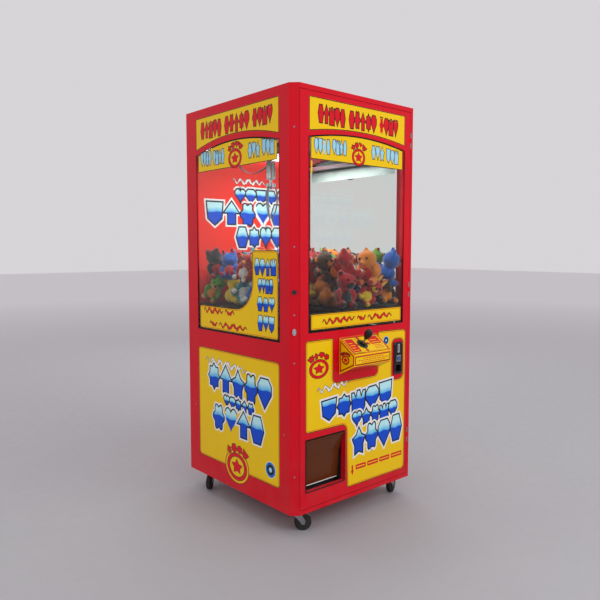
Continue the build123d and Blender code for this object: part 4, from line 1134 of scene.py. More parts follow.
# ------------------------------------------------------------------ printed sheets
def strip(x0: float, x1: float, low: tuple[float, float], high: tuple[float, float],
          bulge: float = 0.0) -> RowPlace:
    """Return the way from a row's unit square to its place on a face.

    Args:
        x0: Where the row starts, in millimetres.
        x1: Where it ends.
        low: Its foot's height at its start and end.
        high: Its top's height at its start and end.
        bulge: How much its middle is lifted.

    Returns:
        A function of a share along and a share up.
    """
    def place(t: float, b: float) -> Point2:
        """Return the point a share along the row and a share up it."""
        foot = low[0] + (low[1] - low[0]) * t
        top = high[0] + (high[1] - high[0]) * t
        lift = bulge * 4 * t * (1 - t)
        return ((x0 + (x1 - x0) * t) * MM, (foot + (top - foot) * b + lift) * MM)
    return place


def bow(x: float, y: float, rx: float, ry: float, tall: float, start: float,
        end: float) -> RowPlace:
    """Return the way from a row's unit square to an arc round a middle point.

    Args:
        x: The middle across, in millimetres.
        y: The middle up.
        rx: The arc's inner half width.
        ry: The arc's inner half height.
        tall: The row's height.
        start: The angle of its start, in degrees.
        end: The angle of its end.

    Returns:
        A function of a share along and a share up.
    """
    def place(t: float, b: float) -> Point2:
        """Return the point a share along the arc and a share outwards."""
        angle = math.radians(start + (end - start) * t)
        return ((x + (rx + tall * b) * math.cos(angle)) * MM,
                (y + (ry + tall * b) * math.sin(angle)) * MM)
    return place


@dataclass
class PrintedSheet:
    """A printed vinyl sheet on one face: films and inks that become one piece."""

    name: str
    face: Face
    body: str
    layers: list[bpy.types.Object] = field(default_factory=list)

    def lay(self, outlines: list[list[Point2]], finish: Finish, layer: int) -> None:
        """Add a film (layer 0) or an ink (layer 1 and up).

        Args:
            outlines: The shape's outlines, in metres.
            finish: Its finish.
            layer: Its place in the stack.
        """
        height = 0.0 if layer == 0 else FILM + (layer - 1) * INK
        thick = FILM if layer == 0 else INK
        shape = slab(f"{self.name}_{len(self.layers)}", outlines, thick, self.face.plane(height))
        coat(shape, finish)
        self.layers.append(shape)

    def panel(self, outline: list[Point2], holes: list[list[Point2]] = (), lined: bool = True,
              backed: bool = False) -> None:
        """Lay a yellow film with a black edge and a thin orange line inside it.

        Args:
            outline: The film's outline.
            holes: Openings in it.
            lined: Whether it has the orange line.
            backed: Whether it has a white back, as on glass.
        """
        self.lay([outline, *holes], WHITE_INK if backed else YELLOW, 0)
        if backed:
            self.lay([outline, *holes], YELLOW, 1)
        self.edge(outline, -1.0, lined, 2 if backed else 1)
        for hole in holes:
            self.edge(hole, 1.0, lined, 1)

    def bordered(self, outline: list[Point2], border: float, line: float,
                 holes: list[list[Point2]] = ()) -> None:
        """Lay a yellow film inside a red border and a black line.

        Args:
            outline: The outer outline.
            border: The red border's width, in millimetres.
            line: The black line's width.
            holes: Openings in it.
        """
        steps = ((RED_INK, 0.0), (BLACK_INK, border), (YELLOW, border + line))
        for layer, (finish, inset) in enumerate(steps):
            self.lay([grown(outline, -inset * MM), *holes], finish, layer)

    def edge(self, outline: list[Point2], way: float, lined: bool, layer: int) -> None:
        """Ink a black line along an outline, and an orange line beside it.

        Args:
            outline: The outline.
            way: -1 for lines inside it and 1 for lines outside it.
            lined: Whether there is an orange line.
            layer: The ink's place in the stack.
        """
        self.band(outline, way * 0.2, way * 3.4, BLACK_INK, layer)
        if lined:
            self.band(outline, way * 6.2, way * 8.8, ORANGE, layer)

    def band(self, outline: list[Point2], start: float, end: float, finish: Finish,
             layer: int) -> None:
        """Ink a line that follows an outline.

        Args:
            outline: The outline.
            start: The distance of the line's one edge, outwards, in millimetres.
            end: The distance of its other edge.
            finish: Its ink.
            layer: Its place in the stack.
        """
        place = self.face.plane(FILM + (layer - 1) * INK)
        line = ring_slab(f"{self.name}_{len(self.layers)}", grown(outline, start * MM),
                         grown(outline, end * MM), INK, place)
        coat(line, finish)
        self.layers.append(line)

    def motifs(self, place: RowPlace, count: int, fill: Finish, seed: int, line: float = 4.0,
               halo: float = 0.0, layer: int = 2) -> None:
        """Print a row of chunky shapes, outlined in black, with a white edge if wanted.

        Args:
            place: Where the row's unit square goes.
            count: The number of shapes.
            fill: The ink inside them.
            seed: Chooses which shapes follow each other.
            line: The width of their black outline, in millimetres.
            halo: The width of the white edge round them.
            layer: The lowest ink's place in the stack.
        """
        chance = random.Random(seed)
        shapes: list[Motif] = []
        while len(shapes) < count:
            nextone = chance.choice(CHUNKY)
            if nextone not in shapes[-3:]:
                shapes.append(nextone)
        cells = []
        for k, shape in enumerate(shapes):
            jog = chance.uniform(-0.04, 0.04)
            cells.append([place((k + 0.04 + 0.92 * a) / count, b + jog) for a, b in shape.outline()])
        for finish, reach in ((WHITE_INK, line + halo), (BLACK_INK, line)):
            if finish is BLACK_INK or halo:
                for parity in (0, 1):
                    self.lay([grown(cell, reach * MM) for cell in cells[parity::2]], finish, layer)
                    layer += 1
        self.lay([grown(cell, -0.15 * line * MM) for cell in cells], fill, layer)

    def wave(self, x0: float, x1: float, y: float, tall: float, turns: float, fill: Finish,
             climb: float = 0.0, layer: int = 2) -> None:
        """Print a brushed wavy stroke with a black edge.

        Args:
            x0: Where it starts, in millimetres.
            x1: Where it ends.
            y: Its middle height.
            tall: Its whole height.
            turns: The number of waves.
            fill: The ink inside it.
            climb: How much its end is higher than its start.
            layer: The lowest ink's place in the stack.
        """
        shape = wave_outline(x0, x1, y, tall * 0.27, turns * 0.8, tall * 0.46, climb)
        self.lay([grown(shape, 2.0 * MM)], BLACK_INK, layer)
        self.lay([shape], fill, layer + 1)

    def roundel(self, x: float, y: float, rx: float, ry: float, seed: int, arc: bool = True,
                layer: int = 2) -> None:
        """Print a red ring round a yellow disc with a red star, and red shapes in an arc above.

        Args:
            x: The middle across, in millimetres.
            y: The middle up.
            rx: Half its width.
            ry: Half its height.
            seed: Chooses the shapes of the arc.
            arc: Whether there are shapes above it.
            layer: The lowest ink's place in the stack.
        """
        self.lay([ellipse(x, y, rx + 2.5, ry + 2.5)], BLACK_INK, layer)
        self.lay([ellipse(x, y, rx, ry)], RED_INK, layer + 1)
        self.lay([ellipse(x, y, rx * 0.76, ry * 0.76)], BLACK_INK, layer + 2)
        self.lay([ellipse(x, y, rx * 0.72, ry * 0.72)], YELLOW, layer + 3)
        star = [((x + (a - 0.5) * rx * 1.15) * MM, (y + (b - 0.5) * ry * 1.15) * MM)
                for a, b in spiked(5, 0.55)]
        self.lay([grown(star, 1.5 * MM)], BLACK_INK, layer + 4)
        self.lay([star], RED_INK, layer + 5)
        if arc:
            self.motifs(bow(x, y, rx + 7, ry + 7, ry * 0.58, 140, 40), 4, RED_INK, seed,
                        line=2.6, layer=layer)

    def finish(self) -> bpy.types.Object:
        """Join the layers into one piece and let it ride on its body."""
        piece = join(self.layers, self.name)
        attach(piece, self.body)
        LOG.info("printed %s, %d layers", self.name, len(self.layers))
        return piece


# ------------------------------------------------------------------ small fittings
def fit_seal(name: str, opening: list[Point2], place: Matrix, body: str, reach: float = 2.2,
             cover: float = 1.6, tall: float = 1.4, bevel: float = 0.4) -> None:
    """Fit a rubber seal along an opening's edge.

    Args:
        name: The seal's name.
        opening: The opening's outline.
        place: The face that it lies on.
        body: The body that it rides.
        reach: How far it reaches outwards from the edge, in millimetres.
        cover: How far it reaches into the opening.
        tall: Its thickness.
        bevel: The width of its bevel.
    """
    seal = slab(name, [grown(opening, reach * MM), grown(opening, -cover * MM)], tall * MM, place,
                bevel=bevel * MM)
    coat(seal, SEAL)
    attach(seal, body)


def screw_head(name: str, spot: Vector, outwards: Vector, radius: float = 4.0) -> bpy.types.Object:
    """Turn a domed screw head with a shallow round dip in its middle.

    Args:
        name: The screw's name.
        spot: The middle of its seat.
        outwards: Where it points.
        radius: Its radius, in millimetres.

    Returns:
        The screw head.
    """
    r = radius * MM
    place = axis_place(spot, outwards)
    dome = lathe(name, [(0, 0), (r, 0), (r, 0.15 * r), (0.86 * r, 0.34 * r), (0.5 * r, 0.46 * r),
                        (0.3 * r, 0.48 * r), (0, 0.3 * r)], place, steps=20)
    coat(dome, ZINC)
    return dome


# ------------------------------------------------------------------ printed graphics
CHUNKY = (Motif.STAR, Motif.HEART, Motif.GEM, Motif.CROWN, Motif.FLOWER, Motif.BURST, Motif.SHIELD,
          Motif.HEXAGON, Motif.ARROW)


@dataclass
class DoorGraphics:
    """The printed sheets on the door: marquee, glass bands, lower panel and window seal."""

    machine: Machine
    window: tuple[float, float, float, float] = (83.0, 690.0, 780.0, 1592.0)
    rise: float = 30.0

    def build(self) -> None:
        """Print every sheet on the door."""
        self.marquee()
        self.glass_bands()
        self.lower_panel()
        x0, x1, sill, spring = self.window
        fit_seal("door_window_seal", arched(x0, x1, sill, spring, self.rise),
                 self.machine.front_face().plane(), "door")

    def marquee(self) -> None:
        """Print the band above the window."""
        sheet = PrintedSheet("door_marquee_print", self.machine.front_face(), "door")
        sheet.panel(arched(83, 690, 1616, 1756, 0, low_rise=26), lined=False)
        for seed, (x0, x1, count) in enumerate(((132, 292, 5), (314, 491, 5), (509, 640, 4))):
            sheet.motifs(strip(x0, x1, (1655, 1655), (1727, 1727)), count, RED_INK, 11 + seed,
                         line=3.6, layer=1)
        sheet.finish()

    def glass_bands(self) -> None:
        """Print the arched band and the foot band on the door's glass."""
        sheet = PrintedSheet("door_glass_print", self.machine.front_face(-GLASS_INSET * MM), "door")
        sheet.panel(arched(93, 679, 1503, 1593, 29), lined=False, backed=True)
        for seed, (x0, x1, count) in enumerate(((113, 205, 4), (217, 304, 4), (461, 548, 3),
                                                (562, 648, 3))):
            lift = 8 if x0 in (217, 461) else 0
            sheet.motifs(strip(x0, x1, (1527 + lift, 1527 + lift), (1588 + lift, 1588 + lift)),
                         count, SKY_INK, 21 + seed, line=2.6)
        sheet.roundel(378, 1534, 40, 36, 31)
        sheet.lay([rounded_box(94, 1441, 102, 1496, 2)], YELLOW, 0)
        sheet.panel(rounded_box(94, 787, 681, 857, 8), backed=True)
        for x0, x1, turns in ((164, 360, 6.5), (378, 432, 1.5), (448, 611, 4.5)):
            sheet.wave(x0, x1, 819, 36, turns, RED_INK, climb=4)
        sheet.finish()

    def lower_panel(self) -> None:
        """Print the large panel round the control box, the coin unit and the prize opening."""
        sheet = PrintedSheet("door_lower_print", self.machine.front_face(), "door")
        outline = rounded([(64, 745, 14), (225, 745, 10), (225, 545, 24), (515, 545, 24),
                           (515, 749, 10), (716, 745, 22), (716, 51, 22), (317, 51, 10),
                           (310, 347, 30), (64, 349, 14)])
        sheet.panel(outline, holes=[rounded_box(617, 507, 697, 700, 25)])
        sheet.wave(132, 322, 523, 42, 5.5, WHITE_INK, climb=12)
        for seed, (x0, x1, low, high, count) in enumerate((
            (156, 619, (384, 396), (470, 505), 5),
            (347, 658, (326, 330), (388, 404), 5),
            (348, 695, (196, 206), (312, 330), 4),
        )):
            sheet.motifs(strip(x0, x1, low, high), count, BLUE_INK, 41 + seed, line=6, halo=8,
                         layer=4 + 5 * seed)
        arrow = [((340 + 20 * a) * MM, (147 - 48 * b) * MM) for a, b in Motif.ARROW.outline()]
        sheet.lay([arrow], RED_INK, 1)
        for k, (start, end) in enumerate(((372, 440), (450, 524), (534, 606), (616, 697))):
            sheet.lay([rounded_box(start, 121, end, 144, 5)], RED_INK, 1)
            sheet.lay([rounded_box(start + 6, 130, end - 6, 135, 2)], YELLOW, 2)
        sheet.roundel(141, 619, 55, 40, 51)
        self.sticker(sheet, 573, 701, 20)
        sheet.finish()

    @staticmethod
    def sticker(sheet: PrintedSheet, x: float, y: float, radius: float) -> None:
        """Print a small round blue sticker with white rings, which says nothing.

        Args:
            sheet: The sheet that it is on.
            x: Its middle across, in millimetres.
            y: Its middle up.
            radius: Its radius.
        """
        sheet.lay([ellipse(x, y, radius, radius)], WHITE_INK, 2)
        sheet.lay([ellipse(x, y, radius * 0.93, radius * 0.93)], STICKER_BLUE, 3)
        sheet.lay([ellipse(x, y, radius * 0.64, radius * 0.64)], BLACK_INK, 4)
        sheet.lay([ellipse(x, y, radius * 0.3, radius * 0.3)], SKY_INK, 5)


@dataclass
class SideGraphics:
    """The printed sheets on one side: marquee, glass sheets, lower panel and window seal."""

    machine: Machine
    hand: int
    name: str

    def u(self, depth: float) -> float:
        """Return the place across the face of a depth behind the front."""
        return self.hand * depth

    def corners(self, points: list[tuple[float, float, float]]) -> list[Point2]:
        """Round a polygon given by depth, height and radius."""
        return rounded([(self.u(y), z, r) for y, z, r in points])

    def build(self) -> None:
        """Print every sheet on this side."""
        self.marquee()
        self.glass_sheets()
        self.lower_panel()
        fit_seal(f"{self.name}_window_seal", arched(self.u(94), self.u(733), 738, 1583, 39),
                 self.machine.side_face(self.hand).plane(-0.9 * MM), "cabinet")

    def marquee(self) -> None:
        """Print the band above the window."""
        sheet = PrintedSheet(f"{self.name}_marquee_print", self.machine.side_face(self.hand), "cabinet")
        sheet.panel(arched(self.u(95), self.u(733), 1608, 1759, 0, low_rise=42), lined=False)
        for seed, (y0, y1, count) in enumerate(((692, 514, 5), (490, 298, 5), (276, 136, 4))):
            sheet.motifs(strip(self.u(y0), self.u(y1), (1658, 1658), (1733, 1733)), count, RED_INK,
                         11 + seed, line=3.0, layer=1)
        sheet.finish()

    def glass_sheets(self) -> None:
        """Print the glass's arched band, and the corner sheet (left) or the foot band (right)."""
        face = self.machine.side_face(self.hand, -GLASS_INSET * MM)
        sheet = PrintedSheet(f"{self.name}_glass_print", face, "cabinet")
        sheet.panel(arched(self.u(108), self.u(719), 1502, 1583, 39), lined=False, backed=True)
        for seed, (y0, y1, count) in enumerate(((696, 604, 4), (590, 496, 4), (312, 226, 3),
                                                (212, 128, 3))):
            sheet.motifs(strip(self.u(y0), self.u(y1), (1528, 1528), (1594, 1594)), count, SKY_INK,
                         21 + seed, line=2.8)
        sheet.roundel(self.u(411), 1540, 50, 42, 31)
        if self.hand < 0:
            self.corner_sheet(sheet)
        else:
            sheet.panel(self.corners([(104, 743, 14), (720, 743, 14), (720, 857, 10), (104, 857, 10)]),
                        backed=True)
            for y0, y1, turns in ((640, 440, 5.5), (410, 360, 1.5), (330, 180, 4)):
                sheet.wave(self.u(y0), self.u(y1), 800, 40, turns, RED_INK)
        sheet.finish()

    def corner_sheet(self, sheet: PrintedSheet) -> None:
        """Print the L-shaped sheet in the front lower corner of the glass.

        Args:
            sheet: The sheet that it joins.
        """
        sheet.panel(self.corners([(104, 743, 14), (720, 743, 14), (720, 857, 10),
                                  (286, 857, 130), (286, 1126, 8), (104, 1126, 14)]), backed=True)
        rows = ((270, 117, 1018, 1088, 4), (245, 138, 942, 1002, 4), (252, 127, 862, 922, 3),
                (249, 130, 774, 841, 3))
        for seed, (y0, y1, low, high, count) in enumerate(rows):
            sheet.motifs(strip(self.u(y0), self.u(y1), (low, low), (high, high)), count, BLUE_INK,
                         61 + seed, line=3.0)
        for y0, y1, z, tall, turns in ((681, 520, 834, 40, 5), (500, 427, 836, 34, 2),
                                       (631, 570, 772, 36, 1.5), (552, 330, 770, 38, 5.5)):
            sheet.wave(self.u(y0), self.u(y1), z, tall, turns, RED_INK)

    def lower_panel(self) -> None:
        """Print the large lower panel and the roundel that breaks out of its foot."""
        sheet = PrintedSheet(f"{self.name}_lower_print", self.machine.side_face(self.hand), "cabinet")
        sheet.panel(rounded_box(self.u(94), 97, self.u(735), 649, 20))
        sheet.wave(self.u(666), self.u(336), 590, 52, 7.5, WHITE_INK, climb=-14)
        for seed, (y0, y1, low, high, count) in enumerate((
            (648, 149, (452, 436), (574, 566), 5),
            (516, 277, (388, 384), (436, 430), 5),
            (612, 203, (262, 262), (376, 384), 4),
        )):
            sheet.motifs(strip(self.u(y0), self.u(y1), low, high), count, BLUE_INK, 71 + seed,
                         line=6, halo=8, layer=4 + 5 * seed)
        for layer, (spread, finish) in enumerate(((16, BLACK_INK), (14, ORANGE), (9, YELLOW)), 1):
            sheet.lay([ellipse(self.u(412), 112, 80 + spread, 66 + spread)], finish, layer)
        sheet.roundel(self.u(412), 112, 78, 64, 81, layer=4)
        DoorGraphics.sticker(sheet, self.u(159), 165, 37)
        sheet.finish()


@dataclass
class Lining:
    """The red lining of the back panel, seen through the windows, with its large print."""

    machine: Machine

    def build(self) -> None:
        """Print the lining's sheet."""
        deck = (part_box("playfield_deck")[1][2] - self.machine.base) / MM
        sheet = PrintedSheet("back_lining_print", self.machine.lining_face(), "cabinet")
        sheet.lay([rounded_box(19, deck + 1, 731, 1648, 2)], LINING, 0)
        sheet.wave(277, 500, 1492, 44, 6, WHITE_INK)
        for seed, (x0, x1, low, high, count) in enumerate((
            (292, 645, (1385, 1385), (1451, 1451), 5),
            (111, 640, (1262, 1262), (1378, 1378), 5),
            (298, 620, (1145, 1145), (1250, 1250), 4),
        )):
            sheet.motifs(strip(x0, x1, low, high), count, BLUE_INK, 91 + seed, line=7, halo=9,
                         layer=3 + 5 * seed)
        sheet.finish()


@dataclass
class ControlBoxTrim:
    """The prints, dust washer and panel screws of the sloping control box."""

    machine: Machine
    left: float = 264.0
    wide: float = 236.0
    reach: float = 92.0
    stick: Point2 = (97.0, -56.3)
    hole: float = 16.4
    slope_long: float = 112.6

    def build(self) -> None:
        """Print the panel, the cheeks, the lip and the underside with its painted highlight, and add the
        washer.
        """
        self.panel()
        self.cheeks()
        self.lip()
        self.washer()

    def panel(self) -> None:
        """Print the sloping panel: a red border, two red blocks and arrows round the stick."""
        sheet = PrintedSheet("control_panel_print", self.machine.panel_face(), "door")
        long, wide = self.slope_long, self.wide
        whole = rounded([(1, -1, 3), (1, 1 - long, 3), (wide - 1, 1 - long, 3), (wide - 1, -1, 3)])
        x, y = self.stick
        sheet.bordered(whole, 7.5, 2.0, holes=[ellipse(x, y, self.hole, self.hole)])
        for x0, x1, y0, y1 in ((14, 60, 16 - long, -18), (152, 218, -62, -16)):
            block_shape = rounded_box(x0, y0, x1, y1, 5)
            sheet.lay([grown(block_shape, 1.2 * MM)], BLACK_INK, 3)
            sheet.lay([block_shape], RED_INK, 4)
            bars = int((y1 - y0) // 16)
            for k in range(bars):
                low = y0 + 7 + 15 * k
                bar = rounded_box(x0 + 7, low, x1 - 7 - 9 * (k % 2), low + 4, 1.5)
                sheet.lay([bar], YELLOW, 5)
        for quarter in range(4):
            turn = math.pi / 2 * quarter
            arrow = []
            for a, b in Motif.ARROW.outline():
                ax, ay = (a - 0.5) * 18, 29 + 19 * b
                arrow.append(((x + ax * math.cos(turn) - ay * math.sin(turn)) * MM,
                              (y + ax * math.sin(turn) + ay * math.cos(turn)) * MM))
            sheet.lay([grown(arrow, 1.2 * MM)], BLACK_INK, 3)
            sheet.lay([arrow], RED_INK, 4)
        for k in range(3):
            sheet.lay([rounded_box(156, -92 + 9 * k, 214, -89 + 9 * k, 1.5)], RED_INK, 3)
        sheet.finish()

    def cheeks(self) -> None:
        """Print both cheeks of the box."""
        for hand, start, name in ((-1, self.left, "left"), (1, self.left + self.wide, "right")):
            origin = self.machine.front_face().spot(start, 0)
            face = Face(origin, Vector((0, hand, 0)), Vector((0, 0, 1)))
            sheet = PrintedSheet(f"control_box_{name}_print", face, "door")
            corners = ((3, 733), (89, 671), (89, 630), (3, 588))
            sheet.bordered(rounded([(-hand * y, z, 3) for y, z in corners]), 4.5, 1.5)
            sheet.roundel(-hand * 38, 648, 21, 18, 101, layer=3)
            sheet.finish()

    def lip(self) -> None:
        """Print the upright lip, and the sloping underside with a painted highlight."""
        face = self.machine.front_face(self.reach * MM)
        sheet = PrintedSheet("control_box_lip_print", face, "door")
        x0, x1 = self.left + 3, self.left + self.wide - 3
        sheet.bordered(rounded_box(x0, 628, x1, 670, 3), 4.5, 1.5)
        for k, (start, end) in enumerate(((44, 205), (20, 218), (52, 190))):
            z = 638.5 + 8.5 * k
            for step in range(start, end - 10, 17):
                dash = rounded_box(x0 + step, z, x0 + step + 13, z + 3.5, 1.5)
                sheet.lay([dash], RED_INK, 3)
        sheet.finish()
        foot = self.machine.front_face().spot(self.left, 579)
        nose = face.spot(self.left, 625)
        under = Face(nose, Vector((1, 0, 0)), (nose - foot).normalized())
        belly = PrintedSheet("control_box_under_print", under, "door")
        deep = (nose - foot).length / MM
        belly.lay([rounded_box(2, -2, self.wide - 2, 2 - deep, 3)], RED_INK, 0)
        # painted highlight: an unlined yellow wedge on the red underside stands in for the glint of
        # light on it
        belly.lay([rounded([(0.35 * self.wide, -8, 3), (self.wide - 10, -8, 3),
                            (self.wide - 10, -0.6 * deep, 6)])], YELLOW, 1)
        belly.finish()

    def washer(self) -> None:
        """Turn the stick's loose dust washer, with a raised rim, and four panel screws."""
        face = self.machine.panel_face()
        x, y = self.stick
        profile = [(14.5, 0.6), (26, 0.6), (27, 1.0), (26.5, 1.8), (24, 2.1), (17, 2.6), (15, 2.8),
                   (14.5, 2.2), (14.5, 0.6)]
        washer = lathe("joystick_dust_washer", [(r * MM, h * MM) for r, h in profile],
                       face.plane() @ Matrix.Translation((x * MM, y * MM, 0)), steps=56)
        coat(washer, BLACK_PLASTIC)
        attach(washer, "door")
        normal = face.across.cross(face.up)
        heads = [screw_head(f"panel_screw_{k}", face.spot(sx, sy, 0.3 * MM), normal, 3.2)
                 for k, (sx, sy) in enumerate(((11, -11), (225, -11), (11, -101), (225, -101)))]
        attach(join(heads, "control_panel_screws"), "door")


@dataclass
class CoinUnitTrim:
    """The coin plate's chrome slot surround, button bezel, cup lip and screws."""

    machine: Machine
    middle: float = 659.0
    thick: float = 5.0

    def build(self) -> None:
        """Make the surrounds and the screws."""
        face = self.machine.front_face(self.thick * MM)
        rings = []
        for name, z, wide, tall, hole, finish in (
            ("slot", 655, 15, 42, (3.2, 30), CHROME), ("button", 606, 31, 29, (25.2, 23.2), CHROME),
        ):
            outer = self.oblong(z, wide, tall, 4)
            inner = self.oblong(z, *hole, 0.8)
            ring = slab(f"coin_{name}_surround", [outer, inner], 1.6 * MM, face.plane(), bevel=0.4 * MM)
            coat(ring, finish)
            rings.append(ring)
        cup = slab("coin_cup_surround", [self.oblong(558, 42, 40, 4), self.oblong(558, 36.4, 34.4, 1)],
                   1.4 * MM, face.plane(), bevel=0.4 * MM)
        coat(cup, BLACK_PLASTIC)
        normal = Vector((0, -1, 0))
        for k, (x, z) in enumerate(((-25, 537), (25, 537), (-25, 678), (25, 678))):
            rings.append(screw_head(f"coin_screw_{k}", face.spot(self.middle + x, z), normal, 2.6))
        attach(join([*rings, cup], "coin_unit_trim"), "door")

    def oblong(self, z: float, wide: float, tall: float, radius: float) -> list[Point2]:
        """Outline a rounded oblong on the coin plate, in millimetres."""
        x0, x1 = self.middle - wide / 2, self.middle + wide / 2
        return rounded_box(x0, z - tall / 2, x1, z + tall / 2, radius)


@dataclass
class PrizeDoorTrim:
    """The prize opening's seal, and the flap's light foot strip."""

    machine: Machine
    opening: tuple[float, float, float, float] = (67.0, 297.0, 92.0, 318.0)

    def build(self) -> None:
        """Make the seal round the opening and the strip on the flap's foot."""
        x0, x1, z0, z1 = self.opening
        fit_seal("prize_opening_seal", rounded_box(x0, z0, x1, z1, 2),
                 self.machine.front_face().plane(), "door", reach=4, cover=0.6, tall=1.8, bevel=0.5)
        low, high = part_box("prize_flap")
        bar = block("flap_foot_strip", (low[0] + 0.006, high[1] - 0.0048, low[2] + 0.001),
                    (high[0] - 0.006, high[1] - 0.0008, low[2] + 0.005), 0.0008)
        coat(bar, WHITE_PLASTIC)
        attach(bar, "flap")


@dataclass
class CabinetFittings:
    """Screws on the sides and the roof, and the rear service hatch with its louvres."""

    machine: Machine

    def build(self) -> None:
        """Make the screws, the hatch and the louvres."""
        self.screws()
        self.hatch()

    def screws(self) -> None:
        """Place the fixing screws on the sides and the roof."""
        heads = []
        for hand in (-1, 1):
            face = self.machine.side_face(hand)
            for y, z in ((65, 344), (770, 344)):
                heads.append(screw_head(f"side_screw_{len(heads)}", face.spot(hand * y, z),
                                        Vector((hand, 0, 0)), 3.0))
        for x in (-0.33, -0.11, 0.11, 0.33):
            for y in (self.machine.front + 0.03, self.machine.back - 0.03):
                heads.append(screw_head(f"roof_screw_{len(heads)}", Vector((x, y, self.machine.top)),
                                        Vector((0, 0, 1)), 3.5))
        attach(join(heads, "cabinet_screws"), "cabinet")

    def hatch(self) -> None:
        """Make the rear hatch plate with rounded corners, louvres and screws."""
        origin = Vector((self.machine.right, self.machine.back, self.machine.base))
        face = Face(origin, Vector((-1, 0, 0)), Vector((0, 0, 1)))
        plate = rounded_box(155, 430, 595, 830, 14)
        pieces = [slab("rear_hatch", [plate], 1.6 * MM, face.plane(), bevel=0.4 * MM)]
        coat(pieces[0], RED_PAINT)
        for k in range(9):
            louvre = lathe("louvre", [(0, -0.09), (0.003, -0.088), (0.005, -0.084), (0.005, 0.084),
                                      (0.003, 0.088), (0, 0.09)],
                           Matrix.Translation(face.spot(375, 470 + 22 * k, 1.2 * MM))
                           @ Matrix.Diagonal((1, 0.3, 1, 1)) @ Matrix.Rotation(math.pi / 2, 4, "Y"),
                           steps=24)
            coat(louvre, RED_PAINT)
            pieces.append(louvre)
        for x in (170, 375, 580):
            for z in (445, 815):
                pieces.append(screw_head("hatch_screw", face.spot(x, z, 1.6 * MM), Vector((0, 1, 0)), 4))
        hatch = join(pieces, "rear_service_hatch")
        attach(hatch, "cabinet")


# ------------------------------------------------------------------ cords
@dataclass
class HangingCable:
    """The flat cable that hangs from the ceiling to the bridge, a ribbon of joined cores."""

    wide: float = 14.0
    thick: float = 2.5

    def build(self) -> None:
        low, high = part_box("trailing_cable")
        middle = (low[0] + high[0]) / 2
        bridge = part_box("bridge_beam")
        start_y = bridge[1][1] + 2.5 * MM
        start_z = (bridge[0][2] + bridge[1][2]) / 2 + 5.0 * MM - 16.0 * MM
        drops = ((0, 0), (21, -13), (47, -37), (84, -58), (128, -71), (176, -74), (225, -66),
                 (270, -46), (303, -16), (320, 22))
        route = [Vector((middle, start_y + y * MM, start_z + z * MM)) for y, z in drops]
        line = self.line(route)
        cable = self.ribbon(line)
        coat(cable, SHEATH)
        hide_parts("trailing_cable")
        long = sum((b - a).length for a, b in zip(line, line[1:]))
        tuple(line[0])
        tuple(line[-1])
        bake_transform(cable)
        tuple(line[-1])
        [tuple(p) for p in line[::-1]]
        LOG.info("hung the trailing cable, %.3f m", long)

    @staticmethod
    def line(route: list[Vector]) -> list[Vector]:
        """Return the points of the smooth line that the route controls."""
        curve = bpy.data.curves.new("cable_line", "CURVE")
        curve.dimensions = "3D"
        spline = curve.splines.new("NURBS")
        spline.points.add(len(route) - 1)
        for knot, point in zip(spline.points, route):
            knot.co = (*point, 1.0)
        spline.order_u = 3
        spline.use_endpoint_u = True
        spline.resolution_u = 6
        holder = bpy.data.objects.new("cable_line", curve)
        mesh = bpy.data.meshes.new_from_object(holder)
        points = [v.co.copy() for v in mesh.vertices]
        bpy.data.objects.remove(holder)
        return points

    def ribbon(self, line: list[Vector]) -> bpy.types.Object:
        """Sweep a ribbed flat section of five cores along the line.

        Args:
            line: The cable's middle line.

        Returns:
            The cable as a closed mesh.
        """
        cores, around = 5, 10
        mesh = bmesh.new()
        core_r = self.thick / 2 * MM
        pitch = (self.wide * MM - 2 * core_r) / (cores - 1)
        for core in range(cores):
            rings = []
            offset = (core - (cores - 1) / 2) * pitch
            for k, point in enumerate(line):
                ahead = line[min(k + 1, len(line) - 1)] - line[max(k - 1, 0)]
                side = Vector((1, 0, 0))
                lift = ahead.normalized().cross(side).normalized()
                ring = []
                for step in range(around):
                    angle = 2 * math.pi * step / around
                    ring.append(mesh.verts.new(point + side * (offset + 1.12 * core_r * math.cos(angle))
                                               + lift * core_r * math.sin(angle)))
                rings.append(ring)
            for ring, nextring in zip(rings, rings[1:]):
                for step in range(around):
                    after = (step + 1) % around
                    mesh.faces.new((ring[step], ring[after], nextring[after], nextring[step]))
            mesh.faces.new(rings[0][::-1])
            mesh.faces.new(rings[-1])
        data = bpy.data.meshes.new("trailing_cable_ribbon")
        mesh.to_mesh(data)
        mesh.free()
        piece = bpy.data.objects.new("trailing_cable_ribbon", data)
        bpy.context.scene.collection.objects.link(piece)
        return smooth(recalculate(piece, 1e-7), 60.0)


@dataclass
class HoistCord:
    """The braided cord that holds the claw."""

    radius: float = 1.2

    def build(self) -> None:
        low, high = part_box("hoist_cord")
        x, y = (low[0] + high[0]) / 2, (low[1] + high[1]) / 2
        steps = 24
        line = [Vector((x, y, high[2] + (low[2] - high[2]) * k / steps)) for k in range(steps + 1)]
        profile = [(0, 0), *[(self.radius * MM * (1 + 0.06 * (k % 2)), high[2] - p.z)
                             for k, p in enumerate(line)], (0, high[2] - low[2])]
        cord = lathe("hoist_cord_braid", profile, Matrix.Translation((x, y, high[2]))
                     @ Matrix.Rotation(math.pi, 4, "X"), steps=14)
        coat(cord, CORD)
        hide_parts("hoist_cord")
        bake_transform(cord)


# ------------------------------------------------------------------ prizes
@dataclass(frozen=True)
class Lump:
    """One stuffed lump of a toy: its place, half sizes and colour role."""

    middle: tuple[float, float, float]
    size: tuple[float, float, float]
    role: int = 0


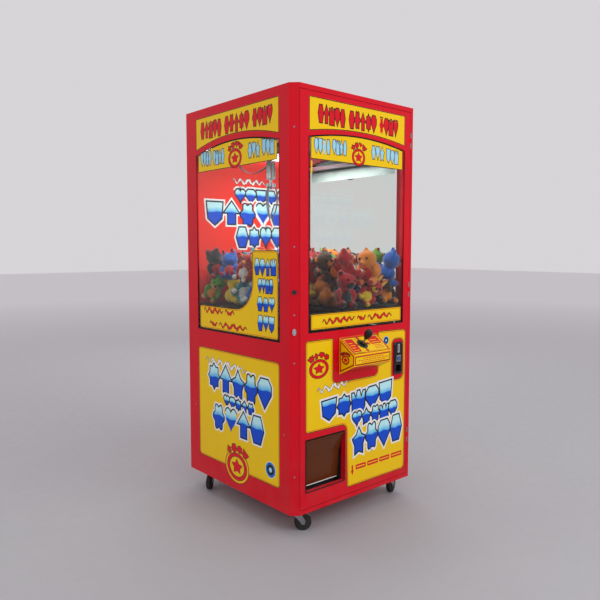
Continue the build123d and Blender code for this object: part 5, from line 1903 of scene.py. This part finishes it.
class ToyKind(Enum):
    """The soft toys, each a plain animal of nobody's design."""

    BEAR = "bear"
    RABBIT = "rabbit"
    ELEPHANT = "elephant"
    FROG = "frog"
    CHICK = "chick"
    CAT = "cat"

    def lumps(self) -> list[Lump]:
        """Return the toy's stuffed lumps, sitting up along Z, in millimetres."""
        body = [Lump((0, 4, -26), (32, 29, 34)), Lump((0, -16, -24), (21, 17, 24), 1)]
        arms = [Lump((s * 33, -12, -16), (12, 13, 23)) for s in (-1, 1)]
        legs = [Lump((s * 24, -28, -48), (15, 24, 14)) for s in (-1, 1)]
        pads = [Lump((s * 24, -46, -46), (11, 8, 11), 1) for s in (-1, 1)]
        head = [Lump((0, -2, 32), (37, 33, 33))]
        extra = {
            ToyKind.BEAR: [Lump((s * 29, 2, 60), (13, 8, 13)) for s in (-1, 1)]
            + [Lump((s * 29, -5, 60), (8, 5, 8), 1) for s in (-1, 1)]
            + [Lump((0, -30, 22), (17, 13, 13), 1)],
            ToyKind.RABBIT: [Lump((s * 15, 6, 74), (10, 8, 32)) for s in (-1, 1)]
            + [Lump((s * 15, -1, 74), (5, 4, 24), 1) for s in (-1, 1)]
            + [Lump((0, -30, 22), (15, 10, 11), 1)],
            ToyKind.ELEPHANT: [Lump((s * 44, 8, 34), (22, 8, 27)) for s in (-1, 1)]
            + [Lump((s * 43, 2, 34), (14, 5, 19), 1) for s in (-1, 1)]
            + [Lump((0, -38 - 3 * k, 18 - 9 * k), (11 - k, 12, 10)) for k in range(4)],
            ToyKind.FROG: [Lump((s * 20, -8, 60), (14, 13, 14)) for s in (-1, 1)]
            + [Lump((s * 20, -18, 62), (9, 7, 9), 1) for s in (-1, 1)]
            + [Lump((0, -22, 20), (29, 17, 14))],
            ToyKind.CHICK: [Lump((0, -38, 26), (10, 14, 7), 2), Lump((0, 4, 66), (7, 9, 12))]
            + [Lump((s * 38, 4, -10), (8, 20, 24)) for s in (-1, 1)],
            ToyKind.CAT: [Lump((s * (24 - 3 * k), 0, 54 + 8 * k), (13 - 3 * k, 8, 9)) for s in (-1, 1)
                          for k in range(3)] + [Lump((0, -30, 20), (15, 10, 10), 1)]
            + [Lump((30 + 5 * k, 28 + 3 * k, -44 + 12 * k), (8, 8, 10)) for k in range(4)],
        }
        return body + arms + legs + pads + head + extra[self]


# each plush colour's second, much darker colour is used as the pile's painted shade
PLUSH = {name: Pile(f"plush_{name}", colour, shade) for name, colour, shade in (
    ("red", "c80f1a", "7c0812"), ("green", "62a81e", "3d7a12"), ("orange", "ee8a14", "c05f08"),
    ("blue", "1c62c4", "10418c"), ("brown", "4c2c1a", "2c180e"), ("grey", "2c2c32", "16161a"),
    ("white", "e8e6e0", "bdb9b0"), ("cream", "e6cfa6", "bf9f70"), ("yellow", "f0c81c", "cc9c0a"),
    ("teal", "2f9aa8", "1b6b78"),
)}
EYE = Finish("toy_eye", "0c0c0e", "1c1c20", rough=0.12, relief=0.00001, dust=0.0, coat=0.6)
TOY_SLOTS = (PLUSH["red"], PLUSH["cream"], PLUSH["orange"], EYE)     # coat, belly, beak, eyes
EYE_SLOT = 3
PAIRS = (("red", "grey"), ("green", "cream"), ("orange", "red"), ("blue", "white"), ("brown", "cream"),
         ("grey", "red"), ("red", "yellow"), ("blue", "red"), ("green", "orange"), ("grey", "teal"),
         ("red", "white"), ("brown", "orange"), ("yellow", "red"), ("teal", "white"))


@dataclass
class PrizeHeap:
    """The heap of soft toys: three tiers on the deck, clear of the prize shaft."""

    size: float = 1.2
    voxel: float = 4.8

    def build(self) -> None:
        """Model each kind once, then heap coloured copies and settle each one."""
        chance = random.Random(7)
        models = {kind: self.model(kind) for kind in ToyKind}
        kinds = list(ToyKind)
        spots = self.spots(chance)
        for count, (name, middle) in enumerate(spots):
            kind = kinds[(count + count // 6) % len(kinds)]
            pair = PAIRS[(count * 5 + count // 14 + chance.randrange(2)) % len(PAIRS)]
            turn = Matrix.Rotation(chance.uniform(-1.3, 0.9), 4, "Z")
            lean = Matrix.Rotation(chance.uniform(-0.9, 0.9), 4, "Y")
            nod = Matrix.Rotation(chance.uniform(-0.7, 0.35), 4, "X")
            size = Matrix.Scale(self.size * chance.uniform(0.86, 1.08), 4)
            place = Matrix.Translation(middle) @ turn @ lean @ nod @ size
            toy = duplicate(models[kind], f"toy_{count:02d}_{kind.value}", place)
            self.settle(toy)
            self.colour(toy, pair)
            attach(toy, "cabinet")
            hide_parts(f"plush_toys_{name}")
        for model in models.values():
            bpy.data.objects.remove(model)
        LOG.info("heaped %d soft toys", len(spots))

    @staticmethod
    def settle(toy: bpy.types.Object) -> None:
        """Move a toy off the glass, the lining and the guard, and down under the claw.

        Args:
            toy: The toy.
        """
        walls = ((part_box("left_glass")[1][0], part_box("right_glass")[0][0]),
                 (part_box("door_glass")[1][1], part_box("playfield_deck")[1][1]),
                 (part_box("playfield_deck")[1][2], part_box("claw_finger_1")[0][2] - CLAW_REACH))
        low = [min(v.co[i] for v in toy.data.vertices) for i in range(3)]
        high = [max(v.co[i] for v in toy.data.vertices) for i in range(3)]
        shift = [max(a + TOY_GAP - low[i], 0.0) + min(b - TOY_GAP - high[i], 0.0)
                 for i, (a, b) in enumerate(walls)]
        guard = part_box("chute_guard")
        low = [a + b for a, b in zip(low, shift)]
        high = [a + b for a, b in zip(high, shift)]
        if all(low[i] < guard[1][i] and high[i] > guard[0][i] for i in range(3)):
            ways = [(guard[1][i] - low[i] + TOY_GAP, i) for i in range(3)]
            reach, way = min(pair for pair in ways if high[pair[1]] + pair[0] < walls[pair[1]][1])
            shift[way] += reach
        toy.data.transform(Matrix.Translation(shift))

    @staticmethod
    def spots(chance: random.Random) -> list[tuple[str, Vector]]:
        """Return where the toys go: three tiers on the deck, clear of the prize shaft.

        Args:
            chance: Moves each toy a little.

        Returns:
            Each toy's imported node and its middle.
        """
        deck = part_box("playfield_deck")
        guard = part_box("chute_guard")[1]
        found = []
        for name, lift, start in (("lower", 0.07, 0.0), ("upper", 0.145, 0.5), ("upper", 0.2, 0.0)):
            for row in range(6):
                for column in range(5):
                    spot = Vector((deck[0][0] + 0.07 + 0.146 * (column + start),
                                   deck[0][1] + 0.05 + 0.126 * (row + start), deck[1][2] + lift))
                    spot += Vector([chance.uniform(-0.015, 0.015) for _ in range(3)])
                    beside = spot.x > guard[0] + 0.03 or spot.y > guard[1] + 0.03
                    if beside and spot.x < deck[1][0] and spot.y < deck[1][1]:
                        found.append((name, spot))
        return found

    def model(self, kind: ToyKind) -> bpy.types.Object:
        """Model one kind: lumps joined into one stuffed skin, with seams, eyes and a nose.

        Args:
            kind: The toy's kind.

        Returns:
            The toy round the origin; slot 0 is its coat, 1 its belly, 2 its beak, 3 its eyes.
        """
        lumps = kind.lumps()
        parts = []
        for lump in lumps:
            deselect()
            place = [c * MM for c in lump.middle]
            bpy.ops.mesh.primitive_uv_sphere_add(segments=24, ring_count=14, radius=1.0, location=place)
            part = bpy.context.object
            part.scale = [s * MM for s in lump.size]
            parts.append(bake_place(part))
        skin = join(parts, kind.value)
        apply_modifier(skin, "REMESH", mode="VOXEL", voxel_size=self.voxel * MM)
        apply_modifier(skin, "SMOOTH", factor=0.6, iterations=5)
        self.pucker(skin, kind)
        for finish in TOY_SLOTS:
            coat(skin, finish)
        for face in skin.data.polygons:
            best = min(lumps, key=lambda lump: sum(
                ((face.center[i] / MM - lump.middle[i]) / lump.size[i]) ** 2 for i in range(3)))
            face.material_index = best.role
            face.use_smooth = True
        details = [skin]
        eye_x, eye_y, eye_z, eye_r = (20, -30, 64, 5.5) if kind is ToyKind.FROG else (14, -32, 40, 4.5)
        for side in (-1, 1):
            spot = Vector((side * eye_x * MM, eye_y * MM, eye_z * MM))
            eye = lathe("eye", [(0, -0.001), (eye_r * MM, -0.001), (eye_r * MM, 0.0006),
                                (0.8 * eye_r * MM, 0.0026), (0.4 * eye_r * MM, 0.0038), (0, 0.0042)],
                        axis_place(spot, Vector((side * 0.3, -1, 0.2))), steps=20)
            self.only(eye, EYE_SLOT)
            details.append(eye)
        if kind not in (ToyKind.CHICK, ToyKind.ELEPHANT, ToyKind.FROG):
            nose = lathe("nose", [(0, 0), (0.0065, 0), (0.0062, 0.002), (0.0035, 0.0042), (0, 0.005)],
                         axis_place(Vector((0, -41 * MM, 28 * MM)), Vector((0, -1, 0.25))), steps=18)
            self.only(nose, EYE_SLOT)
            details.append(nose)
        return join(details, kind.value)

    @staticmethod
    def only(piece: bpy.types.Object, index: int) -> None:
        """Give a small part the toy's slots and use one of them.

        Args:
            piece: The part.
            index: The slot that it uses.
        """
        for finish in TOY_SLOTS:
            coat(piece, finish)
        for face in piece.data.polygons:
            face.material_index = index

    @staticmethod
    def pucker(skin: bpy.types.Object, kind: ToyKind) -> None:
        """Press the middle seam into the skin and let the stuffing swell beside it.

        Args:
            skin: The toy's skin.
            kind: The toy's kind, which seeds its unevenness.
        """
        chance = random.Random(kind.value)
        phase = [chance.uniform(0, 6.28) for _ in range(3)]
        for vert in skin.data.vertices:
            spot = vert.co / MM
            seam = math.exp(-(spot.x / 2.2) ** 2) * 1.6
            swell = 0.9 * math.sin(spot.x * 0.11 + phase[0]) * math.sin(spot.z * 0.12 + phase[1])
            swell += 0.5 * math.sin(spot.y * 0.23 + phase[2])
            vert.co += vert.normal * (swell - seam) * MM

    @staticmethod
    def colour(toy: bpy.types.Object, pair: tuple[str, str]) -> None:
        """Give one toy its coat and belly colours.

        Args:
            toy: The toy.
            pair: The names of its coat and belly colours.
        """
        toy.data.materials[0] = PLUSH[pair[0]].material()
        toy.data.materials[1] = PLUSH[pair[1]].material()


# ------------------------------------------------------------------ studio
@dataclass
class Studio:
    """The pale floor, the soft lights and the camera."""

    machine: Machine

    def build(self) -> None:
        """Set the floor, the lights and the camera."""
        self.room()
        self.light("key", (0.6, -3.8, 3.0), (0.0, 0.0, 0.9), 2.6, 62.0)
        self.light("fill", (-3.8, -0.6, 2.4), (0.0, 0.0, 0.9), 2.6, 16.0)
        self.light("top", (0.2, 0.4, 4.4), (0.0, 0.0, 0.0), 3.0, 30.0)
        self.light("rear", (2.6, 3.2, 3.0), (0.0, 0.0, 0.9), 2.4, 30.0)
        self.inside()
        self.camera()

    @staticmethod
    def room() -> None:
        """Lay a pale floor, with painted shading that darkens it near the machine, under a pale, even
        sky.
        """
        deselect()
        bpy.ops.mesh.primitive_plane_add(size=60.0, location=(0, 0, -0.0005))
        floor = bpy.context.object
        floor.name = "studio_floor"
        finish = PaintedFalloffFloor("studio_grey", "a9a8ac", "e6e3e6", rough=0.6, relief=0.0004, grain=20.0,
                        dust=0.0, scuffs=0.0)
        coat(floor, finish)
        world = bpy.data.worlds.new("studio_air")
        world.use_nodes = True
        world.node_tree.nodes["Background"].inputs[0].default_value = hue("dcd9dc")
        world.node_tree.nodes["Background"].inputs[1].default_value = 0.95
        bpy.context.scene.world = world
        bpy.context.scene.view_settings.view_transform = "Standard"

    @staticmethod
    def light(name: str, spot: tuple, aim: tuple, size: float, power: float) -> None:
        """Hang one soft square light.

        Args:
            name: Its name.
            spot: Where it hangs.
            aim: What it points at.
            size: Its side.
            power: Its power in watts.
        """
        data = bpy.data.lights.new(name, "AREA")
        data.shape = "SQUARE"
        data.size = size
        data.energy = power
        lamp = Studio.hang(name, data, spot)
        lamp.rotation_euler = (Vector(aim) - Vector(spot)).to_track_quat("-Z", "Y").to_euler()

    @staticmethod
    def hang(name: str, data: bpy.types.AreaLight, spot: tuple) -> bpy.types.Object:
        """Hang a lamp that lights the scene and is not seen itself.

        Args:
            name: Its name.
            data: Its light.
            spot: Where it hangs.

        Returns:
            The lamp.
        """
        lamp = bpy.data.objects.new(name, data)
        lamp.location = spot
        lamp.visible_camera = lamp.visible_transmission = lamp.visible_glossy = False
        bpy.context.scene.collection.objects.link(lamp)
        return lamp

    def inside(self) -> None:
        """Add the soft light that the cabinet's lamps give."""
        low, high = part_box("lamp_tubes")
        data = bpy.data.lights.new("cabinet_lamps", "AREA")
        data.shape = "RECTANGLE"
        data.size = high[0] - low[0]
        data.size_y = 0.3
        data.energy = 6.0
        self.hang("cabinet_lamps", data, (0, (low[1] + high[1]) / 2, low[2] - 0.03))

    @staticmethod
    def camera() -> None:
        """Set the camera at a standing eye, left of the machine's front."""
        data = bpy.data.cameras.new("view")
        data.lens = 37.36
        data.sensor_width = 36.0
        data.clip_end = 50.0
        eye = bpy.data.objects.new("view", data)
        eye.location = (-2.0278, -2.2967, 1.2266)
        eye.rotation_euler = (math.radians(85.315), 0.0, math.radians(-41.11))
        bpy.context.scene.collection.objects.link(eye)
        bpy.context.scene.camera = eye


def main() -> None:
    """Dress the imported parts, build every further piece and set the studio."""
    logging.basicConfig(level=logging.INFO, format="%(name)s: %(message)s")
    machine = Machine.measure()
    Studio(machine).build()
    dress_cad()
    HangingCable().build()
    HoistCord().build()
    DoorGraphics(machine).build()
    SideGraphics(machine, -1, "left").build()
    SideGraphics(machine, 1, "right").build()
    Lining(machine).build()
    ControlBoxTrim(machine).build()
    CoinUnitTrim(machine).build()
    PrizeDoorTrim(machine).build()
    CabinetFittings(machine).build()
    PrizeHeap().build()


if __name__ == "__main__":
    main()
